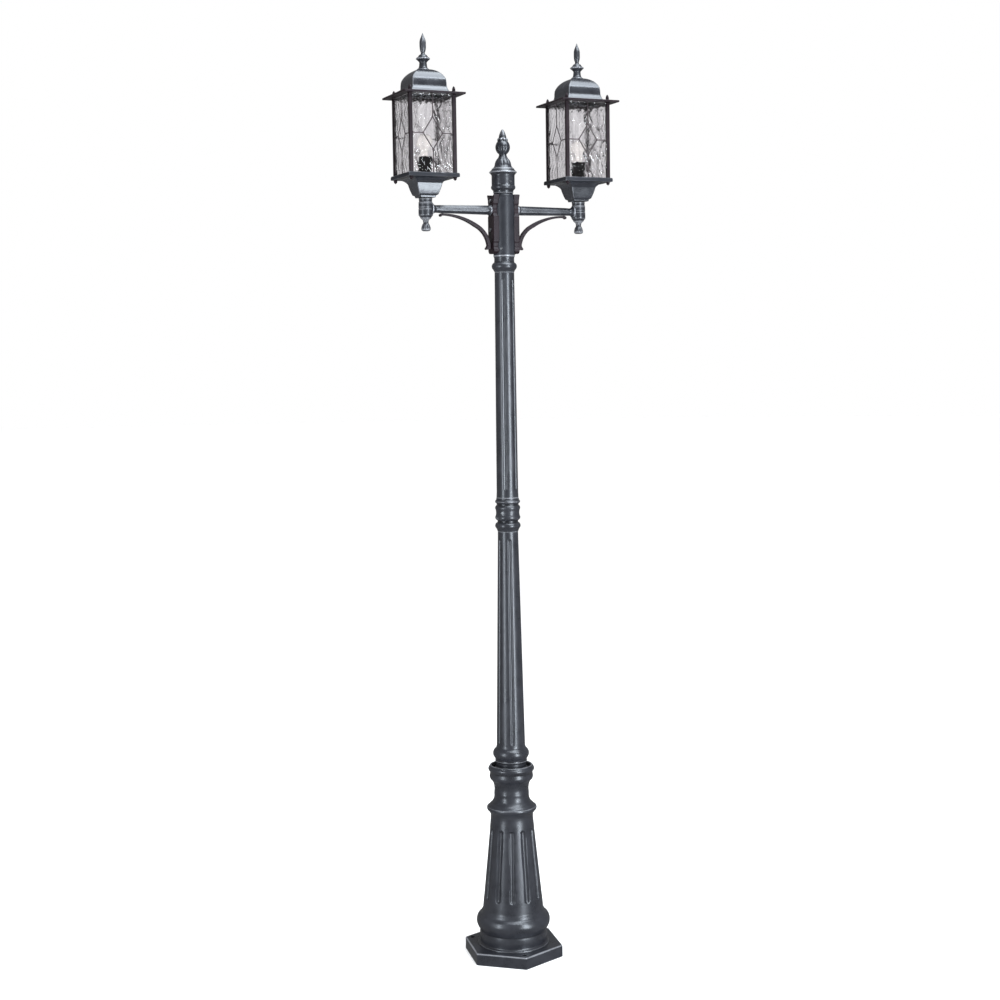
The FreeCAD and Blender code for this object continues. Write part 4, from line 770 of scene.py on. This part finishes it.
def build_arm(side, sign):
    """Arm: tapered octagonal bar between its two round flanges, its plate and brace."""
    low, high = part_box(f"{side}_arm")
    near, far = (low.x, high.x) if sign > 0 else (high.x, low.x)
    level = (low.z + high.z) / 2
    length = abs(far - near) / MM
    start = math.pi / OCTAGON

    def shape(radius, height, angle):
        flat = polygon_radius(radius, angle, OCTAGON, start, 1.6)
        along = np.clip((height - 9) / 3, 0, 1) * np.clip((length - 16 - height) / 6, 0, 1)
        return radius + (flat - radius) * along

    profile = outline([
        (5.5, 0), (14.95, 0), (14.95, 3), (12.75, 9, 0.6), (10.6, length - 16),
        (16.5, length - 2.5, -2.2), (16.5, length + 1), (5.5, length + 1)],
        rounding=0.5, longest=8)
    turn = Matrix.Rotation(sign * math.pi / 2, 4, "Y")
    piece = turned(f"{side}_arm_casting", profile, (near, 0, level),
                   polygon_angles(OCTAGON, start), shape, turn_to=turn)
    dress(piece, "post", "cast_metal", casting_dark, f"{side}_arm")
    plate = recast(f"{side}_arm_plate_casting", f"{side}_arm_plate", 1.1)
    dress(plate, "post", "cast_metal", frame_finish, f"{side}_arm_plate")
    brace = recast(f"{side}_arm_brace_bar", f"{side}_arm_brace", 0.9)
    dress(brace, "post", "cast_metal", frame_finish, f"{side}_arm_brace")


def build_socket(side):
    """Barrel at the arm's end, and the lobed drop finial beneath it."""
    profile = outline([
        (5.2, 0), (12.1, 0), (14.9, 3), (17.6, 8, -0.6), (20, 12, 0.5), (20, 28),
        (19.1, 29), (19.1, 30.5), (19.8, 31.5), (19.4, 47), (18, 50, -0.4), (19, 56),
        (5.2, 56)], rounding=0.4, longest=5)
    piece = turned(f"{side}_socket_casting", profile, foot_of(f"{side}_arm_socket"),
                   even_angles(96))
    dress(piece, "post", "cast_metal", casting, f"{side}_arm_socket")
    petals = 6

    def shape(radius, height, angle):
        cup = bell(height, 1, 23) * 2.1 * (1 - lobes(angle, petals) ** 0.8)
        flare = bell(height, 24, 36) * 0.9 * (1 - lobes(angle, 2 * petals))
        return radius - (cup + flare) * (radius > 5.5)

    profile = outline([
        (0, 0), (6.7, 0.4), (13.5, 5, 1.4), (7.5, 22, 1.8), (7.7, 25, -0.4),
        (10.7, 33, -0.8), (5.2, 33), (5.2, 10), (0, 8)],
        rounding=0.4, longest=2, closed=False)
    piece = turned(f"{side}_drop_finial_casting", profile, foot_of(f"{side}_drop_finial"),
                   even_angles(96), shape, closed=False)
    dress(piece, "post", "cast_metal", casting, f"{side}_drop_finial")


# --- lanterns -------------------------------------------------------------------------

SQUARE = 4
SQUARE_CORNER = math.pi / 4
SQUARE_ANGLES = polygon_angles(SQUARE, SQUARE_CORNER)


def square_shape(rounding):
    """Square in plan with rounded corners, but round close to the axis."""
    def shape(radius, height, angle):
        square = polygon_radius(radius, angle, SQUARE, SQUARE_CORNER, rounding)
        return radius + (square - radius) * np.clip((radius - 8) / 6, 0, 1)
    return shape


def build_tray(side):
    """Square tray of the lantern with its moulded bowl."""
    profile = outline([
        (5.2, 0), (22.55, 0), (23.05, 5), (28.05, 7.5), (37.55, 38, 0.8), (59.75, 52, -3),
        (74.75, 52), (74.75, 60), (73.25, 63), (56.75, 63), (56.75, 56), (33.75, 37, 2.6),
        (23.75, 9, -2), (5.2, 9)], rounding=0.6, longest=5)
    piece = turned(f"{side}_tray_casting", profile, foot_of(f"{side}_lantern_tray"),
                   SQUARE_ANGLES, square_shape(1.6))
    dress(piece, "post", "frame_metal", tray_casting, f"{side}_lantern_tray")


def build_roof(side):
    """Domed roof of the lantern, square in plan."""
    profile = outline([
        (58, 0), (57.2, 3, 0.2), (50, 28, -2.4), (48.8, 39), (17, 68, 5.4),
        (3.4, 68), (3.4, 65), (17, 65), (45.8, 38, -4.8), (47, 27), (55, 2, 2.4),
        (55, 0)], rounding=0.7, longest=4)
    piece = turned(f"{side}_roof_casting", profile, foot_of(f"{side}_lantern_roof"),
                   SQUARE_ANGLES, square_shape(2.2))
    dress(piece, f"{side}_roof", "cast_metal", roof_casting, f"{side}_lantern_roof")


def build_roof_finial(side):
    """Finial nut of the roof: reeded foot, disc, and bud with long petals."""
    petals = 6

    def shape(radius, height, angle):
        disc = bell(height, 24, 37) * 0.7 * (1 - lobes(angle, 2 * petals))
        bud = bell(height, 46, 98) * 1.0 * (1 - lobes(angle, petals))
        return radius - (disc + bud) * (radius > 3.5)

    profile = outline([
        (3.08, 0), (17, 0), (17, 2, 0.4), (11.2, 10, -1.4), (10.2, 18), (13.7, 24, -1),
        (19.1, 28.5, -0.5), (19.1, 32, 0.6), (11, 40, -1.2), (5.4, 45, -1),
        (6.5, 49, -0.4), (9.1, 70, 1), (4.6, 89, 1.6), (0, 101)],
        rounding=0.4, longest=2.5, closed=False)
    inside = np.array([[0, 22], [3.08, 21], [3.08, 0]])
    profile = np.concatenate([inside, profile[1:]])
    piece = turned(f"{side}_roof_finial_casting", profile,
                   foot_of(f"{side}_roof_finial"), even_angles(96), shape, closed=False)
    dress(piece, f"{side}_finial", "cast_metal", casting_dark, f"{side}_roof_finial")


def build_frame(side):
    """Eave plate and the four corner posts."""
    low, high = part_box(f"{side}_eave_plate")
    half = (high.x - low.x) / 2 / MM
    thick = (high.z - low.z) / MM
    profile = outline([(50, 0), (half, 0), (half, thick), (50, thick)],
                      rounding=0.45, longest=8)
    piece = turned(f"{side}_eave_plate_casting", profile, foot_of(f"{side}_eave_plate"),
                   SQUARE_ANGLES, square_shape(2.0))
    dress(piece, "post", "frame_metal", frame_finish, f"{side}_eave_plate")
    tray_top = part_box(f"{side}_lantern_tray")[1].z
    post_half = 5.0
    length = (low.z - tray_top) / MM
    profile = outline([(0, 0), (post_half, 0), (post_half, length), (0, length)],
                      rounding=0.3, longest=14, closed=False)
    centre = foot_of(f"{side}_corner_posts")
    reach = (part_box(f"{side}_corner_posts")[1].x - centre.x) / MM - post_half

    def square(radius, height, angle):
        return polygon_radius(radius, angle, SQUARE, SQUARE_CORNER, 0.9) * (radius > 0.5)

    parts = []
    for x_sign, y_sign in ((1, 1), (1, -1), (-1, 1), (-1, -1)):
        verts, faces = turned_mesh(profile, SQUARE_ANGLES, square,
                                   closed=False)
        place = np.array([centre.x + x_sign * reach * MM, centre.y + y_sign * reach * MM,
                          tray_top])
        parts.append((verts * MM + place, faces))
    posts = joined(f"{side}_corner_post_bars", parts)
    dress(posts, "post", "frame_metal", frame_finish, f"{side}_corner_posts")


PANE_HALF = 58.8                # half the width of a pane, mm
DIAMOND = (28.5, 43.5)          # half the width and half the height of the came's diamond


def water_ripple(across, up, seed):
    """Height of the drawn ripples at points of a pane, 0 to 1, calmer in the diamond."""
    calm = 0.28
    dice = np.random.RandomState(seed)
    wave = np.zeros_like(across)
    warp = 5 * np.sin(up / 17 + dice.uniform(0, TURN)) + 3 * np.sin(up / 7.3)
    for _ in range(16):
        pitch = dice.uniform(9, 22)
        lean = dice.normal(0, 0.30)
        direction = np.array([math.cos(lean), math.sin(lean)])
        phase = dice.uniform(0, TURN)
        wave += np.sin(TURN * ((across + warp) * direction[0] + up * direction[1]) / pitch
                       + phase) * pitch / 22
    for _ in range(12):
        pitch = dice.uniform(6, 13)
        lean = dice.uniform(0, TURN)
        phase = dice.uniform(0, TURN)
        wave += 0.35 * np.sin(TURN * (across * math.cos(lean) + up * math.sin(lean)) / pitch
                              + phase)
    wave = np.tanh(wave / 3.2)
    inside = np.abs(across) / DIAMOND[0] + np.abs(up) / DIAMOND[1] < 0.97
    return (wave * np.where(inside, calm, 1.0) + 1) / 2


def pane_mesh(height, thick, seed):
    """One pane: rippled outer face, flat inner face; across, up and out in mm."""
    ripple_depth = 0.85
    pitch = 2.0
    columns = round(2 * PANE_HALF / pitch) + 1
    rows = round(height / pitch) + 1
    across, up = np.meshgrid(np.linspace(-PANE_HALF, PANE_HALF, columns),
                             np.linspace(-height / 2, height / 2, rows))
    rim = np.minimum(PANE_HALF - np.abs(across), height / 2 - np.abs(up))
    sunk = (1 - water_ripple(across, up, seed)) * ripple_depth * np.clip(rim, 0, 1)
    outer = np.stack([across, up, thick - sunk], -1).reshape(-1, 3)
    inner = np.stack([across, up, np.zeros_like(up)], -1).reshape(-1, 3)
    index = np.arange(rows * columns).reshape(rows, columns)
    faces = []
    back = rows * columns
    for r in range(rows - 1):
        for c in range(columns - 1):
            quad = [index[r, c], index[r, c + 1], index[r + 1, c + 1], index[r + 1, c]]
            faces.append([int(k) for k in quad])
    edge = ([index[0, c] for c in range(columns)]
            + [index[r, columns - 1] for r in range(1, rows)]
            + [index[rows - 1, c] for c in range(columns - 2, -1, -1)]
            + [index[r, 0] for r in range(rows - 2, 0, -1)])
    edge = [int(k) for k in edge]
    keep = {k: back + n for n, k in enumerate(edge)}
    for k, following in zip(edge, edge[1:] + edge[:1]):
        faces.append([following, k, keep[k], keep[following]])
    faces.append([keep[k] for k in reversed(edge)])
    return np.concatenate([outer, inner[edge]]), faces


def facing(verts, quarter, centre, out, level):
    """Move (across, up, out) millimetres onto a lantern's side, in metres."""
    across, up, depth = verts.T
    turn = quarter * math.pi / 2
    way = out + depth
    x = way * math.cos(turn) - across * math.sin(turn)
    y = way * math.sin(turn) + across * math.cos(turn)
    return np.stack([centre.x + x * MM, centre.y + y * MM, level + up * MM], -1)


def build_panes(side, seed):
    """The four rippled panes of a lantern."""
    low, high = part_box(f"{side}_glass_panes")
    centre = (low + high) / 2
    height = (high.z - low.z) / MM
    outer = (high.x - low.x) / 2 / MM
    thick = 3.0
    parts = []
    for quarter in range(4):
        verts, faces = pane_mesh(height, thick, seed + quarter)
        parts.append((facing(verts, quarter, centre, outer - thick, centre.z), faces))
    piece = joined(f"{side}_water_glass", parts)
    dress(piece, "post", "pane_glass", pane_finish, f"{side}_glass_panes", crease=60)


def came_strip(start, end, width, height, dice):
    """A strip of came with a crowned section, slightly uneven as it is laid by hand."""
    begin = np.array(start, float)
    way = np.array(end, float) - begin
    length = math.hypot(*way)
    along = way / length
    side = np.array([-along[1], along[0]])
    spacing = 4
    foot = 0.05
    steps = max(2, round(length / spacing))
    section = np.linspace(0, math.pi, 9)
    verts = []
    for k in range(steps + 1):
        middle = begin + way * k / steps
        wide = width / 2 * dice.uniform(0.93, 1.0)
        tall = height * dice.uniform(0.86, 1.0)
        for angle in section:
            place = middle - side * wide * math.cos(angle)
            verts.append([place[0], place[1], foot + tall * math.sin(angle) ** 0.8])
    count = len(section)
    faces = []
    for k in range(steps):
        for n in range(count - 1):
            low = k * count + n
            faces.append([low, low + 1, low + count + 1, low + count])
        faces.append([k * count + count - 1, k * count, (k + 1) * count,
                      (k + 2) * count - 1])
    faces.append(list(range(count - 1, -1, -1)))
    faces.append([steps * count + n for n in range(count)])
    return np.array(verts), [face[::-1] for face in faces]


def solder_blob(place, dice):
    """A low dome of solder where strips of came meet."""
    reach = 2.9 * dice.uniform(0.9, 1.05)
    dome = np.array([[0, 0.02], [reach, 0.02], [reach * 0.93, 0.6], [reach * 0.6, 1.15],
                     [0, 1.4]])
    verts, faces = turned_mesh(dome, even_angles(18), closed=False)
    return verts + np.array([place[0], place[1], 0]), faces


def build_cames(side, seed):
    """Lead came on the four panes: a diamond with a line from each of its points."""
    low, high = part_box(f"{side}_pane_cames")
    centre = (low + high) / 2
    outer = (high.x - low.x) / 2 / MM
    tall = (high.z - low.z) / 2 / MM
    width = 3.2
    depth = 1.45
    behind = 1.5                # from the cames' outer face in to the pane, mm
    dice = np.random.RandomState(seed)
    tips = [(0, -DIAMOND[1]), (DIAMOND[0], 0), (0, DIAMOND[1]), (-DIAMOND[0], 0)]
    ends = [(0, -tall), (PANE_HALF - 0.6, 0), (0, tall), (-PANE_HALF + 0.6, 0)]
    parts = []
    for quarter in range(4):
        strips = [came_strip(tips[k], tips[(k + 1) % 4], width, depth, dice)
                  for k in range(4)]
        strips += [came_strip(tips[k], ends[k], width, depth, dice) for k in range(4)]
        strips += [solder_blob(tip, dice) for tip in tips]
        for verts, faces in strips:
            parts.append((facing(verts, quarter, centre, outer - behind, centre.z), faces))
    piece = joined(f"{side}_lead_came", parts)
    dress(piece, "post", "came_lead", came_finish, f"{side}_pane_cames")


def build_holder(side):
    """Lamp holder with the thread of its shade ring and fine ribs for the fingers."""
    def shape(radius, height, angle):
        ribs = bell(height, 8, 28) * 0.5 * np.abs(np.sin(angle * 24))
        return radius - ribs * (radius > 17)

    threads = []
    crest = 28.5
    pitch = 4.2
    while crest < 50:
        threads += [(18.9, crest), (20, crest + 1.1), (20, crest + 1.9), (18.9, crest + 3)]
        crest += pitch
    profile = outline(
        [(5.2, 0), (12, 0), (12, 5), (19, 10, 1), (19, 26), *threads, (18, 53),
         (13.28, 53), (13.28, 14), (5.2, 14)], rounding=0.3, longest=4)
    piece = turned(f"{side}_holder_moulding", profile, foot_of(f"{side}_lamp_holder"),
                   even_angles(144), shape)
    dress(piece, "post", "holder_plastic", holder_finish, f"{side}_lamp_holder")


build_pedestal()
build_columns()
build_post_fittings()
build_post_finial()
for number, side_name in enumerate(SIDES):
    build_arm(side_name, -1 if side_name == "left" else 1)
    build_socket(side_name)
    build_tray(side_name)
    build_frame(side_name)
    build_panes(side_name, SEED + 10 * number)
    build_cames(side_name, SEED + 100 + number)
    build_roof(side_name)
    build_roof_finial(side_name)
    build_holder(side_name)


# --- floor, light and camera ----------------------------------------------------------

CAMERA_AZIMUTH = -0.4117
CAMERA_DISTANCE = 4.716
CAMERA_HEIGHT = 1.757
CAMERA_PITCH = -0.0883
CAMERA_ROLL = -0.0143
CAMERA_YAW = 0.0046
CAMERA_LENS = 59.2


def build_floor():
    """Wide pale floor that reaches the horizon."""
    reach = 40.0
    drop = 0.0002               # below the post's foot, so that the two don't coincide
    rings = np.array([0.0, 0.5, 1, 2, 4, 8, 16, reach]) / MM
    profile = np.stack([rings, np.zeros(len(rings))], axis=1)[::-1]
    verts, faces = turned_mesh(profile, even_angles(64), closed=False)
    floor = piece_from("studio_floor", verts * MM - np.array([0, 0, drop]), faces)
    material, tree, shader = new_material("pale_floor")
    tint = blend_colour(tree, noise(tree, 3, detail=3), (0.90, 0.90, 0.90),
                        (0.93, 0.93, 0.93))
    feed(tree, shader, {
        "Base Color": tint, "Roughness": 0.9,
        "Emission Color": (1.0, 1.0, 1.0, 1), "Emission Strength": 0.16})
    floor.data.materials.append(material)
    floor.visible_glossy = False


def build_world():
    """White studio surround, dimmer in a mirroring surface and through one."""
    world = bpy.data.worlds.new("studio")
    bpy.context.scene.world = world
    world.use_nodes = True
    tree = world.node_tree
    path = add_node(tree, "LightPath")
    mirrored = combine(tree, "MINIMUM", path.outputs["Glossy Depth"], 1.0)
    mirrored_level = 0.20
    strength = add_node(tree, "MapRange", {
        "Value": mirrored, "To Min": 1.0, "To Max": mirrored_level})
    feed(tree, tree.nodes["Background"], {
        "Color": (1.0, 1.0, 1.0, 1), "Strength": strength.outputs[0]})


def softbox(name, azimuth, distance, height, size, power, aim_height=None):
    """A rectangular light that faces the post's axis; azimuth in degrees from +X."""
    light = bpy.data.lights.new(name, "AREA")
    light.shape = "RECTANGLE"
    light.size, light.size_y = size
    light.energy = power
    light.color = (0.88, 0.95, 1.0)
    lamp = bpy.data.objects.new(name, light)
    bpy.context.scene.collection.objects.link(lamp)
    angle = math.radians(azimuth)
    place = Vector((distance * math.cos(angle), distance * math.sin(angle), height))
    aim = Vector((0, 0, height if aim_height is None else aim_height))
    lamp.location = place
    lamp.rotation_euler = (aim - place).to_track_quat("-Z", "Y").to_euler()
    lamp.visible_camera = False
    lamp.visible_transmission = False


def build_lights():
    """Softboxes on both sides of the camera, one overhead and one high in front."""
    toward_camera = math.degrees(math.atan2(-math.cos(CAMERA_AZIMUTH),
                                            math.sin(CAMERA_AZIMUTH)))
    softbox("right_strip", toward_camera + 40, 3.4, 1.2, (0.62, 2.5), 60)
    softbox("upper_right", toward_camera + 40, 3.3, 1.9, (0.62, 1.0), 16)
    softbox("left_strip", toward_camera - 46, 3.4, 1.2, (0.50, 2.5), 46)
    softbox("low_right", toward_camera + 40, 3.4, 0.45, (1.0, 0.8), 34)
    softbox("overhead", -60, 0.9, 4.6, (2.2, 2.2), 96, aim_height=0)
    softbox("high_front", -68, 3.2, 5.0, (2.6, 1.3), 98, aim_height=2.4)


def build_camera():
    """The camera, a little off the post's front; angles in radians, lengths in metres."""
    data = bpy.data.cameras.new("camera")
    data.lens = CAMERA_LENS
    data.sensor_width = 36
    data.clip_start = 0.05
    data.clip_end = 200
    camera = bpy.data.objects.new("camera", data)
    bpy.context.scene.collection.objects.link(camera)
    place = Vector((math.sin(CAMERA_AZIMUTH) * CAMERA_DISTANCE,
                    -math.cos(CAMERA_AZIMUTH) * CAMERA_DISTANCE, CAMERA_HEIGHT))
    heading = CAMERA_AZIMUTH + CAMERA_YAW
    forward = Vector((-math.sin(heading) * math.cos(CAMERA_PITCH),
                      math.cos(heading) * math.cos(CAMERA_PITCH), math.sin(CAMERA_PITCH)))
    level = Vector((math.cos(heading), math.sin(heading), 0))
    upward = level.cross(forward)
    across = level * math.cos(CAMERA_ROLL) + upward * math.sin(CAMERA_ROLL)
    upright = upward * math.cos(CAMERA_ROLL) - level * math.sin(CAMERA_ROLL)
    turn = Matrix((across, upright, -forward)).transposed().to_4x4()
    camera.matrix_world = Matrix.Translation(place) @ turn
    bpy.context.scene.camera = camera


build_floor()
build_world()
build_lights()
build_camera()
bpy.context.scene.view_settings.view_transform = "Standard"
